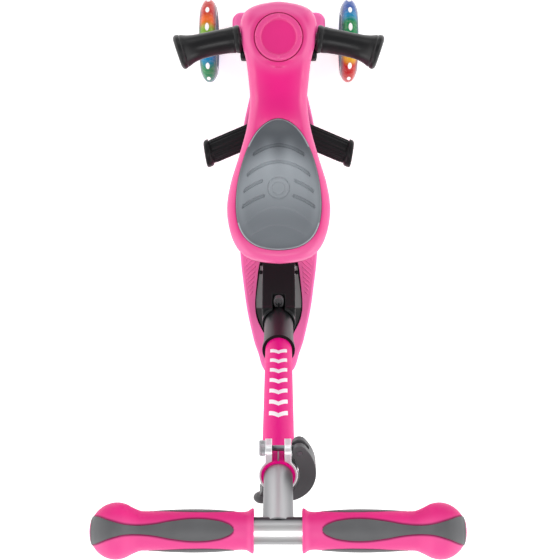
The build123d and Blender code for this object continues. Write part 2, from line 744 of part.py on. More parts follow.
def clamp_collar():
    collar = rod(COLLAR_R, CLAMP_LOW, LOWER_TOP)
    ears = block((-EAR_OUT, EAR_OUT), (-EAR_REACH, 0), (CLAMP_LOW, LOWER_TOP))
    ears = fillet(ears.edges().filter_by(Axis.X).group_by(Axis.Y)[0], 8)
    collar += ears
    collar -= rod(LOWER_R + FIT, CLAMP_LOW, LOWER_TOP)
    collar -= block((-EAR_IN, EAR_IN), (-40, 0), (CLAMP_LOW, LOWER_TOP))
    return BAR * (collar - across(BOLT_R, -30, 30, -BOLT_OUT, CLAMP_MID))


def clamp_bolt():
    bolt = across(BOLT_R, CAM_X + 3, EAR_OUT + NUT_T + 2, -BOLT_OUT, CLAMP_MID)
    eye = Pos(CAM_X, -BOLT_OUT, 0) * rod(5.0, CLAMP_MID - 3, CLAMP_MID + 3)
    return BAR * (bolt + eye - Pos(CAM_X, -BOLT_OUT, 0) * rod(CAM_PIN_R + FIT, 400, 500))


def clamp_nut():
    nut = across(NUT_R, EAR_OUT, EAR_OUT + NUT_T, -BOLT_OUT, CLAMP_MID)
    return BAR * (nut - across(BOLT_R, 0, 40, -BOLT_OUT, CLAMP_MID))


def lever():
    """Cam round the pin and a paddle that wraps behind the tube."""
    inner = COLLAR_R + 1.4
    outer_points = [(CAM_X - 4, -BOLT_OUT - 7), (-34, -22), (-39.5, -4), (-36, 14), (-24, 27),
                    (-6, 32), (12, 29), (20, 25)]
    inner_points = [(17, 19.5), (8, 23.2), (-6, 23.4), (-17.6, 15), (-22, 0), (-18.5, -13),
                    (CAM_X + 6, -BOLT_OUT + 6)]
    outer_line = Spline(*outer_points)
    inner_line = Spline(*inner_points)
    ends = [Line(outer_line @ 1, inner_line @ 0), Line(inner_line @ 1, outer_line @ 0)]
    paddle = extrude(make_face([outer_line, inner_line] + ends), LEVER_T / 2, both=True)
    body = Pos(0, 0, CLAMP_MID) * paddle
    low = CLAMP_MID - LEVER_T / 2
    high = CLAMP_MID + LEVER_T / 2
    body += Pos(CAM_X, -BOLT_OUT, 0) * rod(CAM_R, low, high)
    body -= rod(inner, low, high)
    body -= Pos(CAM_X, -BOLT_OUT, 0) * rod(CAM_R + 1.6, CLAMP_MID - 3.3, CLAMP_MID + 3.3)
    return BAR * (body - Pos(CAM_X, -BOLT_OUT, 0) * rod(CAM_PIN_R, low, high))


def lever_pin():
    low = CLAMP_MID - LEVER_T / 2
    return BAR * Pos(CAM_X, -BOLT_OUT, 0) * rod(CAM_PIN_R, low, low + LEVER_T)


def upper_tube():
    return BAR * (pipe(UPPER_R, UPPER_R - UPPER_WALL, UPPER_START, BAR_LENGTH)
                  - across(CROSS_R, -30, 30, 0, BAR_LENGTH))


def crossbar():
    bar = across(CROSS_R, -CROSS_HALF, CROSS_HALF) - across(CROSS_R - 1.6, -180, 180)
    return BAR * Pos(0, 0, BAR_LENGTH) * bar


def grip_form(sink):
    """A grip's solid form along X, its skin moved inwards by sink."""
    skin = [(x, radius - sink) for x, radius in GRIP_LINE]
    line = Spline(*skin)
    tail = [line @ 1, (GRIP_END - sink, 10), (GRIP_END - sink, 0), (GRIP_START, 0),
            (GRIP_START, 21 - sink), (27.4, 21 - sink), line @ 0]
    face = make_face([line, Polyline(*tail)])
    return revolve(face, Axis.X)


def inlay_outline():
    """From above: an oval on the grip, a narrow neck and a second oval on the bulb."""
    oval = Pos(82, 0, 0) * Ellipse(41, 10.5)
    neck = Pos(132, 0, 0) * Rectangle(46, 8.5)
    end = Pos(160, 0, 0) * Ellipse(15, 12.4)
    return extrude(oval + neck + end, 40, dir=(0, 0, 1))


def inlay_form():
    return (grip_form(0) & inlay_outline()) - grip_form(INLAY_T)


def grip(side):
    body = grip_form(0) - inlay_outline() + grip_form(INLAY_T)
    body -= across(CROSS_R, 0, CROSS_HALF)
    return body if side > 0 else mirror(body, about=Plane.YZ)


def crossbar_place(shape):
    """Moves a form along X to the crossbar's axis, its top still upright."""
    point = BAR * Pos(0, 0, BAR_LENGTH)
    return Pos(*point.position) * shape


# ---- the whole object ----
def all_pieces():
    pieces = {
        "backbone": backbone(), "fork_plates": fork_plates(), "deck_board": deck_board(),
        "deck_screws": deck_screws(), "front_casting": front_casting(),
        "nose_housing": nose_housing(), "housing_screws": group(housing_screw_solids()),
        "column_tube": column_tube(), "kingpin_bolt": kingpin_bolt(),
        "kingpin_nut": kingpin_nut(), "rear_axle_bolt": rear_axle_bolt(),
        "rear_axle_nut": rear_axle_nut(), "rear_spacers": rear_spacers(),
        "rear_dock": rear_dock(), "dock_screws": dock_screws(), "brake_pin": brake_pin(),
        "brake_spring": brake_spring(), "axle_beam": axle_beam(), "steer_bush": steer_bush(),
        "front_axle_bolts": front_axle_bolts(), "magnet_cores": magnet_cores(),
        "brake_flap": brake_flap(), "seat_body": seat_body(),
        "seat_underside": seat_underside(), "seat_pad": seat_pad(),
        "seat_screws": seat_screws(), "column_bush": column_bush(),
        "toddler_bar": toddler_bar(), "toddler_hub": toddler_hub(),
        "toddler_grips": toddler_grips(), "seat_button": seat_button(), "cap": cap(),
        "footrest": footrest(), "bar_sleeve": bar_sleeve(), "bar_button": bar_button(),
        "lower_tube": lower_tube(), "tube_bush": tube_bush(), "clamp_collar": clamp_collar(),
        "clamp_bolt": clamp_bolt(), "clamp_nut": clamp_nut(), "lever": lever(),
        "lever_pin": lever_pin(), "upper_tube": upper_tube(), "crossbar": crossbar(),
        "grip_left": crossbar_place(grip(1)), "grip_right": crossbar_place(grip(-1)),
        "grip_inlays": group(crossbar_place(half) for half in both_sides(inlay_form())),
    }
    for side, word in ((1, "left"), (-1, "right")):
        for name, shape in front_wheel(side).items():
            pieces["%s_%s" % (name, word)] = shape
    pieces.update(rear_wheel())
    return pieces


os.makedirs("parts", exist_ok=True)
for name, shape in all_pieces().items():
    export_step(Pos(0, -MID_Y, 0) * shape, "parts/%s.step" % name)
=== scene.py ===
"""Looks of a toddler's kick scooter with its push handle plugged in behind the seat.

Lengths are millimetres until a Placing turns them into metres. Most pieces that are worked out
here are grids of points. The clamp collar, the lever, the dock and the clamp bolt are mended
copies of the frame's nodes, and every other node only gets a finish.
"""
import json
from math import pi, radians

import bmesh
import bpy
import numpy as np
from mathutils import Euler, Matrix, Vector


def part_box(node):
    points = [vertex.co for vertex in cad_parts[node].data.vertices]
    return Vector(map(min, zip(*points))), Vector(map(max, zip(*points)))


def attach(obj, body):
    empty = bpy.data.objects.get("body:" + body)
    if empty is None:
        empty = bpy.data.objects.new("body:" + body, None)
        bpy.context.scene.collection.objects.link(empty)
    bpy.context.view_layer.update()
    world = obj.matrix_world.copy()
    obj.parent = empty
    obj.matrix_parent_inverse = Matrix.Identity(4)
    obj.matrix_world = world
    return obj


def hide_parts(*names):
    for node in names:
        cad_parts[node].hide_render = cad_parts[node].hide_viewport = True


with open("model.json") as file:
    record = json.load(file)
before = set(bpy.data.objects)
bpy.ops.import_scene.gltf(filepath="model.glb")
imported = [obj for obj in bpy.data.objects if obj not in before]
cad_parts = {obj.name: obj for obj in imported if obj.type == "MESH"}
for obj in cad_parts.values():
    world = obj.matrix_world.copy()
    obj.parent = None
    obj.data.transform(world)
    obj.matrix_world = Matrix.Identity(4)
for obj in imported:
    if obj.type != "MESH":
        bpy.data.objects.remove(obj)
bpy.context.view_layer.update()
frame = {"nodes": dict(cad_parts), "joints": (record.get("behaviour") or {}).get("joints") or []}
MM = 0.001
joints = {joint["name"]: joint for joint in frame["joints"]}


# ---- places, all read from the frame ----
def middle(node):
    low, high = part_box(node)
    return np.array((low + high) / 2)


class Placing:
    """Turns (n, 3) points in mm, on axes whose Z is `up`, into metres in the frame."""

    def __init__(self, origin, up=(0, 0, 1)):
        self.origin = np.array(origin, float)
        z = np.array(up, float) / np.linalg.norm(up)
        x = np.array((1.0, 0.0, 0.0))
        self.axes = np.array([x, np.cross(z, x), z])

    def __call__(self, points):
        return self.origin + MM * (np.asarray(points, float) @ self.axes)


BAR_LENGTH = 593.7
bar_up = np.array(joints["bar_pull_out"]["axis"])
crossbar_at = middle("crossbar")
GROUND = Placing((0, middle("tyre_left")[1], 0))
BAR = Placing(crossbar_at - BAR_LENGTH * MM * bar_up, bar_up)
CROSSBAR = Placing(crossbar_at)
CAP = Placing((0, middle("cap")[1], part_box("seat_body")[1].z))


# ---- curves and grids ----
def smooth_curve(x, y):
    """A cubic through the points, its slope at each point the mean of its neighbours' chord."""
    x, y = np.array(x, float), np.array(y, float)
    chord = np.diff(y) / np.diff(x)
    width = np.diff(x)
    inner = (chord[:-1] * width[1:] + chord[1:] * width[:-1]) / (width[:-1] + width[1:])
    slope = np.concatenate([chord[:1], inner, chord[-1:]])

    def curve(at):
        at = np.clip(np.asarray(at, float), x[0], x[-1])
        k = np.clip(np.searchsorted(x, at, side="right") - 1, 0, len(x) - 2)
        h = width[k]
        t = (at - x[k]) / h
        return (y[k] * (1 + 2 * t) * (1 - t) ** 2 + slope[k] * h * t * (1 - t) ** 2
                + y[k + 1] * t * t * (3 - 2 * t) + slope[k + 1] * h * t * t * (t - 1))
    return curve


def softened(points, steps=6):
    """A polyline of (a, b, radius) corners with each corner rounded by a parabola."""
    corners = np.array(points, float)
    out = [corners[0, :2]]
    for before, here, after in zip(corners[:-2], corners[1:-1], corners[2:]):
        reach = here[2]
        if reach <= 0:
            out.append(here[:2])
            continue
        back, ahead = before[:2] - here[:2], after[:2] - here[:2]
        reach_back = min(reach, 0.5 * np.linalg.norm(back))
        reach_ahead = min(reach, 0.5 * np.linalg.norm(ahead))
        start = here[:2] + back / np.linalg.norm(back) * reach_back
        end = here[:2] + ahead / np.linalg.norm(ahead) * reach_ahead
        t = np.linspace(0, 1, steps)[:, None]
        out.extend((1 - t) ** 2 * start + 2 * t * (1 - t) * here[:2] + t * t * end)
    out.append(corners[-1, :2])
    return np.array(out)


def grid_faces(rows, columns, wrap):
    """Quads between neighbouring rows, closed round the columns where wrap is true."""
    count = columns if wrap else columns - 1
    i, j = np.meshgrid(np.arange(rows - 1), np.arange(count), indexing="ij")
    k = (j + 1) % columns
    a, b = i * columns + j, i * columns + k
    return np.stack([a, b, b + columns, a + columns], -1).reshape(-1, 4)


def full_turn(count):
    """Angles that go once round, evenly spaced."""
    return np.linspace(0, 2 * pi, count, endpoint=False)


def bump(value, width):
    """A bell that is 1 where value is 0 and about a third where it is width away."""
    return np.exp(-(np.asarray(value) / width) ** 2)


def step(value):
    """0 below 0, 1 above 1, smooth between."""
    t = np.clip(value, 0, 1)
    return t * t * (3 - 2 * t)


class Plan:
    """A left-right outline: half-widths along y, round at both ends.

    The half-width is a smooth function of an angle whose cosine runs evenly from the front
    to the rear, so that the ends close as round curves.
    """

    def __init__(self, front, rear, halves):
        self.front, self.rear = front, rear
        y, half = zip(*halves)
        self.curve = smooth_curve([0, *self.angle(np.array(y)), pi], [0, *half, 0])

    def angle(self, y):
        share = (np.asarray(y, float) - self.front) / (self.rear - self.front)
        return np.arccos(np.clip(1 - 2 * share, -1, 1))

    def y(self, angle):
        return self.front + (self.rear - self.front) * (1 - np.cos(angle)) / 2

    def half(self, y):
        return np.maximum(self.curve(self.angle(y)), 0)

    def outline(self, count):
        angle = np.linspace(0, pi, count)
        y = self.y(angle)
        return np.stack([self.half(y), y], -1)

    def depth(self, x, y):
        """Distance from points to the outline."""
        edge = self.outline(500)
        flat = np.stack([np.abs(x).ravel(), np.asarray(y).ravel()], -1)
        parts = [np.hypot(*(block[:, None] - edge).transpose(2, 0, 1)).min(1)
                 for block in np.array_split(flat, 40)]
        return np.concatenate(parts).reshape(np.shape(x))


# ---- meshes ----
def make(name, points, faces, crease=32):
    """A mesh piece: near points are merged, faces turned outwards, sharp edges kept."""
    mesh = bpy.data.meshes.new(name)
    mesh.from_pydata(points.reshape(-1, 3).tolist(), [], faces.tolist())
    clean(mesh, crease)
    return put(name, mesh)


def put(name, data):
    """A new object with that mesh, lamp or camera, in the scene."""
    piece = bpy.data.objects.new(name, data)
    bpy.context.scene.collection.objects.link(piece)
    return piece


def mesh_points(mesh):
    """The mesh's points one after another, as one flat row of numbers in metres."""
    points = np.zeros(len(mesh.vertices) * 3, np.float32)
    mesh.vertices.foreach_get("co", points)
    return points


def clean(mesh, crease):
    """Merges near points, turns faces outwards, keeps edges sharper than crease degrees."""
    work = bmesh.new()
    work.from_mesh(mesh)
    bmesh.ops.remove_doubles(work, verts=work.verts, dist=3e-6)
    bmesh.ops.dissolve_degenerate(work, edges=work.edges, dist=1e-6)
    bmesh.ops.recalc_face_normals(work, faces=work.faces)
    work.to_mesh(mesh)
    work.free()
    mesh.polygons.foreach_set("use_smooth", np.ones(len(mesh.polygons), bool))
    mesh.set_sharp_from_angle(angle=radians(crease))


def joined(name, parts, crease=32):
    """Several (points, faces) shapes as one mesh piece."""
    points, faces, start = [], [], 0
    for part_points, part_faces in parts:
        part_points = part_points.reshape(-1, 3)
        points.append(part_points)
        faces.append(part_faces + start)
        start += len(part_points)
    return make(name, np.concatenate(points), np.concatenate(faces), crease)


def spun(profile, place, count, swap=False):
    """An (along, radius) profile turned round Z, or round X where swap is true."""
    along, radius = np.asarray(profile, float).T
    turn = full_turn(count)
    a = radius[:, None] * np.cos(turn)
    b = radius[:, None] * np.sin(turn)
    c = np.broadcast_to(along[:, None], a.shape)
    grid = np.stack([c, a, b] if swap else [a, b, c], -1)
    return place(grid.reshape(-1, 3)), grid_faces(len(along), count, True)


def cut(piece, tool):
    """Takes the tool's shape out of the piece, and the tool goes."""
    change = piece.modifiers.new("cut", "BOOLEAN")
    change.operation = "DIFFERENCE"
    change.solver = "EXACT"
    change.object = tool
    settle(piece)
    bpy.data.objects.remove(tool)
    clean(piece.data, 32)
    return piece


def shade(piece, share, word="pale"):
    """Writes an attribute of the piece: share(x, y, z) of its points in mm from the ground."""
    x, y, z = ((mesh_points(piece.data).reshape(-1, 3) - GROUND.origin) / MM).T
    layer = piece.data.attributes.new(word, "FLOAT", "POINT")
    layer.data.foreach_set("value", np.clip(share(x, y, z), 0, 1).astype(np.float32))


def fit(piece, body, finish, slot, *nodes):
    """The piece gets its finish, moves with its body and stands for its nodes."""
    piece.data.materials.clear()
    piece.data.materials.append(finish)
    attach(piece, body)
    if nodes:
        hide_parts(*nodes)
    return piece


# ---- finishes ----
class Wire:
    """A socket. Expressions on it add Math nodes to its sheet."""

    def __init__(self, sheet, socket):
        self.sheet, self.socket = sheet, socket

    def math(self, operation, *values):
        made = self.sheet.node("ShaderNodeMath", {"operation": operation}, dict(enumerate(values)))
        return Wire(self.sheet, made.outputs[0])

    def __add__(self, other):
        return self.math("ADD", self, other)

    def __sub__(self, other):
        return self.math("SUBTRACT", self, other)

    def __rsub__(self, other):
        return self.math("SUBTRACT", other, self)

    def __mul__(self, other):
        return self.math("MULTIPLY", self, other)

    def __truediv__(self, other):
        return self.math("DIVIDE", self, other)

    __radd__ = __add__
    __rmul__ = __mul__

    def between(self, low, high):
        """0 at low, 1 at high, smooth between."""
        made = self.sheet.node("ShaderNodeMapRange", {"interpolation_type": "SMOOTHSTEP"},
                               {"Value": self, "From Min": low, "From Max": high})
        return Wire(self.sheet, made.outputs[0])


class Nodes:
    """A node tree that nodes are added to."""

    def __init__(self, tree):
        self.tree = tree

    def node(self, kind, settings=(), inputs=()):
        made = self.tree.nodes.new(kind)
        for key, value in dict(settings).items():
            setattr(made, key, value)
        self.feed(made, inputs)
        return made

    def feed(self, node, inputs):
        for key, value in dict(inputs).items():
            socket = node.inputs[key.replace("_", " ") if isinstance(key, str) else key]
            if isinstance(value, Wire):
                self.tree.links.new(value.socket, socket)
            else:
                socket.default_value = value

    def wire(self, kind, settings, inputs, output=0):
        return Wire(self, self.node(kind, settings, inputs).outputs[output])

    def parts(self, vector):
        """The three numbers of a vector."""
        split = self.node("ShaderNodeSeparateXYZ", {}, {0: vector})
        return [Wire(self, split.outputs[k]) for k in range(3)]


class Sheet(Nodes):
    """One material: a Principled shader and the nodes that feed it."""

    def __init__(self, name, **constants):
        self.material = bpy.data.materials.new(name)
        self.material.use_nodes = True
        super().__init__(self.material.node_tree)
        self.shader = self.tree.nodes["Principled BSDF"]
        self.feed(self.shader, constants)
        self.place = self.wire("ShaderNodeTexCoord", {}, {}, "Object")

    def noise(self, scale, detail=3.0, stretch=None):
        """Noise with features 1/scale metres across, stretched by the three factors."""
        where = self.place
        if stretch:
            where = self.wire("ShaderNodeMapping", {}, {"Vector": where, "Scale": stretch})
        return self.wire("ShaderNodeTexNoise", {}, {"Vector": where, "Scale": scale,
                                                    "Detail": detail})

    def blend(self, mask, first, second):
        """Colour first where the mask is 0, second where it is 1."""
        made = self.node("ShaderNodeMix", {"data_type": "RGBA"})
        self.feed(made, {0: mask, 6: first, 7: second})
        return Wire(self, made.outputs[2])

    def attribute(self, name):
        """The piece's own attribute of that name, as written by shade."""
        return self.wire("ShaderNodeAttribute", {"attribute_name": name}, {}, "Fac")

    def relief(self, height, distance, strength):
        made = self.wire("ShaderNodeBump", {}, {"Height": height, "Distance": distance,
                                                "Strength": strength})
        self.feed(self.shader, {"Normal": made})

    def use(self, **inputs):
        self.feed(self.shader, inputs)


def tint(color, share):
    """The colour with its light multiplied by share."""
    return (*(min(1.0, c * share) for c in color[:3]), 1.0)


def moulded(name, color, rough, grain=2500.0, depth=0.00004, coat=0.0, shine=0.5, pale=None,
            tail=None):
    """Injection-moulded plastic: a fine spark-eroded grain, gloss that varies a little.

    Where pale is given, the colour turns to it as the piece's own attribute "pale" rises, painted
    light and shade:
    paler where light falls on the piece. tail is a place along the object, in metres, and the
    colour of what lies behind it.
    """
    sheet = Sheet(name, Coat_Weight=coat, Coat_Roughness=0.12, Specular_IOR_Level=shine)
    cloud = sheet.noise(14.0, 2.0)
    fine = sheet.noise(grain, 2.0)
    body = sheet.blend(cloud.between(0.35, 0.65), tint(color, 0.96), tint(color, 1.04))
    if pale:
        body = sheet.blend(sheet.attribute("pale"), body, pale)
    if tail:
        back = sheet.parts(sheet.place)[1]
        body = sheet.blend(back.between(tail[0], tail[0] + 0.003), body, tail[1])
    sheet.use(Base_Color=body, Roughness=rough + 0.06 * (cloud - 0.5) + 0.06 * (fine - 0.5))
    sheet.relief(fine, depth, 0.35)
    return sheet.material


def metal(name, color, rough, stretch=(1, 1, 1), share=0.92, depth=0.00002, sides=None):
    """Drawn or turned metal: fine scratches along one direction, and handled patches.

    share is how metallic it is. sides is an axis, a tube's middle and radius on it in metres, the
    duller colour of its sides, painted shade that leaves a painted highlight down the middle, and
    the colour of a line along its low side of that axis, a painted reflection.
    """
    sheet = Sheet(name, Metallic=share)
    lines = sheet.noise(900.0, 4.0, stretch)
    cloud = sheet.noise(18.0, 3.0)
    body = sheet.blend(lines, tint(color, 0.9), tint(color, 1.08))
    if sides:
        axis, centre, radius, side_shade, line = sides
        # Painted shade on the sides of the tube, and a painted dark reflection along its low side
        off = sheet.parts(sheet.place)[axis] - centre
        body = sheet.blend((off.math("ABSOLUTE", off) / radius).between(0.25, 0.95), body, side_shade)
        body = sheet.blend((off / -radius).between(0.80, 0.96), body, line)
    sheet.use(Base_Color=body, Roughness=rough + 0.10 * (lines - 0.5) + 0.08 * (cloud - 0.5))
    sheet.relief(lines, depth, 0.4)
    return sheet.material


SEAM_PINK = (0.16, 0.003, 0.05, 1)


def rubber(name, color, rough, grain=1800.0, depth=0.00008, shine=0.42, pale=None):
    """Soft moulded rubber: matt pebbled grain in cloudy patches.

    Where pale is given, the colour turns to it as the piece's attribute "pale" rises, painted light
    and shade, and to the dark pink of a seam as its attribute "line" rises.
    """
    sheet = Sheet(name, Specular_IOR_Level=shine)
    pebble = sheet.wire("ShaderNodeTexVoronoi", {}, {"Vector": sheet.place, "Scale": grain})
    cloud = sheet.noise(22.0, 3.0)
    body = sheet.blend(cloud.between(0.35, 0.7), tint(color, 0.93), tint(color, 1.1))
    if pale:
        body = sheet.blend(sheet.attribute("pale"), body, pale)
        body = sheet.blend(sheet.attribute("line"), body, SEAM_PINK)
    sheet.use(Base_Color=body, Roughness=rough + 0.10 * (cloud - 0.5))
    sheet.relief(pebble, depth, 0.4)
    return sheet.material


TUBE_RADIUS = 0.0150
BAR_RADIUS = 0.0127
# Painted shade for the sides of the upper tube and for the line along its low side
SIDE_SHADE = (0.17, 0.17, 0.18, 1)
BRAKE_TAIL = float(GROUND((0, 394, 0))[1])
# Painted light: the shell's pale pink lightens its rims, the ring round the cap, its nose and its
# tail.
pink_shell = moulded("pink_shell", (0.76, 0.003, 0.205, 1), 0.36, coat=0.15,
                     pale=(0.80, 0.11, 0.33, 1))
# The deck's pink is paler than the seat's, and raised further as painted light that offsets the
# shade of the seat and handlebar over it
pink_deck_lit = moulded("pink_deck_lit", (0.94, 0.145, 0.43, 1), 0.46, grain=1800.0, depth=0.00007)
# Painted light and shade: the pad's grey runs from the dark colour at its tip, sides and tail to
# the pale colour of a painted highlight in its middle and along its edge.
pad_grey = moulded("pad_grey", (0.042, 0.050, 0.060, 1), 0.36, grain=3200.0, shine=0.30,
                   pale=(0.34, 0.375, 0.405, 1))
black_plastic = moulded("black_plastic", (0.010, 0.011, 0.012, 1), 0.36, shine=0.16)
black_rubber = rubber("black_rubber", (0.006, 0.006, 0.007, 1), 0.33, shine=0.36)
brake_grey = moulded("brake_grey", (0.24, 0.25, 0.25, 1), 0.40,
                     tail=(BRAKE_TAIL, (0.02, 0.021, 0.022, 1)))
lever_grey = moulded("lever_grey", (0.075, 0.076, 0.080, 1), 0.42, depth=0.00007, shine=0.35)
# Painted light and shade: the grips are deep pink on their front and painted paler on their top and
# rear.
pink_rubber = rubber("pink_rubber", (0.72, 0.0008, 0.185, 1), 0.46, shine=0.25,
                     pale=(0.80, 0.075, 0.29, 1))
inlay_grey = rubber("inlay_grey", (0.100, 0.101, 0.106, 1), 0.52, grain=1400.0, depth=0.00012)
satin_tube = metal("satin_tube", (0.46, 0.465, 0.475, 1), 0.42, (60, 60, 1),
                   sides=(0, 0.0, TUBE_RADIUS, SIDE_SHADE, SIDE_SHADE))
# The crossbar: painted shade on its sides leaves a painted highlight down its middle, and a
# near-black painted reflection runs along its front edge.
bright_bar = metal("bright_bar", (0.97, 0.97, 0.98, 1), 0.34, (1, 60, 60),
                   sides=(1, float(crossbar_at[1]), BAR_RADIUS, (0.27, 0.27, 0.28, 1),
                          (0.03, 0.03, 0.035, 1)))
clamp_alloy = metal("clamp_alloy", (0.86, 0.87, 0.89, 1), 0.30, share=0.6, depth=0.000004)
steel = metal("steel", (0.36, 0.37, 0.39, 1), 0.36, (60, 1, 60))
nut_steel = metal("nut_steel", (0.46, 0.46, 0.48, 1), 0.32)
screw_steel = metal("screw_steel", (0.20, 0.20, 0.22, 1), 0.30)
cast_alloy = metal("cast_alloy", (0.20, 0.20, 0.22, 1), 0.5)
core_white = moulded("core_white", (0.30, 0.36, 0.42, 1), 0.28, coat=0.3)
mark_white = moulded("mark_white", (0.86, 0.80, 0.84, 1), 0.34)


def pink_paint():
    """Satin paint on the lower tube, with faint orange peel."""
    sheet = Sheet("pink_paint", Specular_IOR_Level=0.10)
    cloud = sheet.noise(30.0, 2.0)
    pink = (0.76, 0.002, 0.215)
    color = sheet.blend(cloud, tint(pink, 0.95), tint(pink, 1.05))
    sheet.use(Base_Color=color, Roughness=0.45 + 0.06 * (cloud - 0.5))
    sheet.relief(sheet.noise(1200.0, 2.0), 0.00003, 0.25)
    return sheet.material


tube_pink = pink_paint()
LAMPS = 13
TYRE_HALF = 12.0


def wheel_glow(name, node, stops):
    """Clear tyre lit from inside: the colour follows the angle round the axle, darker towards
    the sidewalls, with a row of bright oval lamps under the tread."""
    sheet = Sheet(name, Coat_Weight=0.1, Coat_Roughness=0.08, Specular_IOR_Level=0.15)
    at = middle(node)
    x, y, z = sheet.parts(sheet.place)
    forward = y - float(at[1])
    upward = z - float(at[2])
    angle = forward.math("ARCTAN2", forward, upward) / (2 * pi) + 0.5
    ramp = sheet.node("ShaderNodeValToRGB", {}, {"Fac": angle})
    ramp.color_ramp.interpolation = "EASE"
    marks = ramp.color_ramp.elements
    for degrees, color in stops:
        marks.new(degrees / 360 + 0.5).color = (*color, 1)
    marks.remove(marks[0])
    marks.remove(marks[len(marks) - 1])
    glow = Wire(sheet, ramp.outputs[0])
    streaks = sheet.noise(260.0, 3.0, (0.25, 1, 1))
    across = x.math("ABSOLUTE", x - float(at[0])) / (TYRE_HALF * MM)
    body = sheet.blend(streaks.between(0.35, 0.75), glow,
                       sheet.blend(0.08, glow, (1, 0.95, 0.75, 1)))
    body = sheet.blend(across.between(0.55, 1.0) * 0.75, body, (0.0, 0.02, 0.06, 1))
    turn = angle * LAMPS + 0.28
    phase = turn.math("FRACT", turn) - 0.5
    oval = phase * phase * 20.0 + across * across * 14.0
    lamps = 1 - oval.between(0.5, 1.0)
    lit = sheet.blend(lamps, body, (1, 1, 1, 1))
    sheet.use(Base_Color=lit, Roughness=0.12 + 0.1 * streaks, Emission_Color=lit,
              Emission_Strength=0.12)
    return sheet.material


# ---- seat moulding, pad and cap ----
SEAT = Plan(-2.5, 333.0, [(2.6, 31.4), (9, 42.2), (15.4, 46.3), (45, 48), (74, 41.5), (96, 39),
                         (116, 37.5), (148, 41.4), (189, 52.5), (225, 63.5), (255, 68.6),
                         (289, 65), (315, 53), (327, 38)])
SEAT_TOP = smooth_curve([0, 40, 76, 92, 112, 130, 150, 175, 230, 290, 333],
                        [298, 299.5, 298, 289, 272, 259.5, 251, 247.5, 246.5, 247.5, 247])
SEAT_LOW = smooth_curve([0, 85, 130, 180, 300, 333], [226, 226, 222, 214, 214, 222])
PAD = Plan(142.7, 315.3, [(147, 15), (158, 28), (178, 40), (203, 49), (232, 55), (260, 56.5),
                          (283, 53), (300, 43.5), (311, 27)])
CAP_R = 30.6
CAP_Y = 45.7
PAD_FLOOR = 241.5


def seat_surface(x, y):
    """Height of the seat moulding: a spine line, a crown across, round shoulders."""
    depth = SEAT.depth(x, y)
    shoulder = 13.0
    fall = shoulder * (1 - np.sqrt(1 - (1 - np.clip(depth / shoulder, 0, 1)) ** 2))
    share = x / np.maximum(SEAT.half(y), 1e-6)
    height = SEAT_TOP(y) - 3.0 * np.clip(share, -1, 1) ** 2 - fall
    from_cap = np.hypot(x, y - CAP_Y)
    turn = np.arctan2(x, y - CAP_Y)
    height += 1.3 * step((41.5 - from_cap) / 6.0)
    height -= 2.4 * bump(from_cap - 36.0, 1.7) * bump(turn, 0.33)
    return height


def seat_shell():
    """Rows run from the nose to the tail; each row is a closed loop over the top, down the
    right wall, across the bottom and up the left wall."""
    rows, columns = 320, 121
    angle = np.linspace(0, pi, rows)
    y = SEAT.y(angle)[:, None]
    across = np.sin(np.linspace(-pi / 2, pi / 2, columns))[None, :]
    x = SEAT.half(y) * across
    yy = np.broadcast_to(y, x.shape)
    top = np.stack([x, yy, seat_surface(x, yy)], -1)
    low = SEAT_LOW(y[:, 0])
    edge = top[:, -1, 2]
    wall = []
    for share, draw in ((0.15, 0.0), (0.5, 0.4), (0.85, 0.9), (0.97, 1.6), (1.0, 3.4)):
        half = np.maximum(SEAT.half(y[:, 0]) - draw, 0)
        wall.append(np.stack([half, y[:, 0], edge + (low - edge) * share], -1))
    wall = np.stack(wall, 1)
    other = wall[:, ::-1] * np.array((-1, 1, 1))
    loop = np.concatenate([top, wall, other], 1)
    piece = make("seat_shell", GROUND(loop.reshape(-1, 3)), grid_faces(rows, loop.shape[1], True))
    recess = softened([(-4, 0, 0), (-4, CAP_R + 1.0, 0.6), (12, CAP_R + 1.0, 0), (12, 0, 0)])
    cut(piece, joined("recess", [spun(recess, CAP, 160)]))
    cut(piece, pad_recess())
    shade(piece, shell_painted_light)
    return fit(piece, "seat_unit", pink_shell, "pink_plastic", "seat_body")


def pad_recess():
    """The block that is taken out of the moulding for the pad, 0.5 mm larger all round."""
    edge = PAD.outline(120)
    ring = np.concatenate([edge, edge[-2:0:-1] * np.array((-1, 1))])
    out = ring + 0.5 * unit_normals(ring)
    levels = [np.column_stack([out, np.full(len(out), z)]) for z in (PAD_FLOOR, 262.0)]
    count = len(out)
    faces = grid_faces(2, count, True).tolist()
    faces += [list(range(count)), list(range(count, 2 * count))]
    mesh = bpy.data.meshes.new("pad_recess")
    mesh.from_pydata(GROUND(np.concatenate(levels)).tolist(), [], faces)
    clean(mesh, 30)
    return put("pad_recess", mesh)


def shell_painted_light(x, y, z):
    """Painted light: the moulding is deep pink along its middle and painted paler towards its rim,
    round the cap, at its nose and at its tail.
    """
    rim = 1 - np.clip(SEAT.depth(x, y) / 32.0, 0, 1)
    ring = 0.4 * bump(np.hypot(x, y - CAP_Y) - 38.0, 7.0)
    tail = 0.55 * step((y - 285) / 26) * step((rim - 0.1) / 0.5)
    return 0.78 * rim ** 2.4 + ring + 0.6 * step((24 - y) / 14) + tail


def unit_normals(ring):
    """Outward normals of a closed flat ring."""
    along = np.roll(ring, -1, 0) - np.roll(ring, 1, 0)
    normal = np.stack([along[:, 1], -along[:, 0]], -1)
    normal /= np.linalg.norm(normal, axis=1, keepdims=True)
    centre = ring.mean(0)
    return normal * np.sign(((ring - centre) * normal).sum(1).mean())


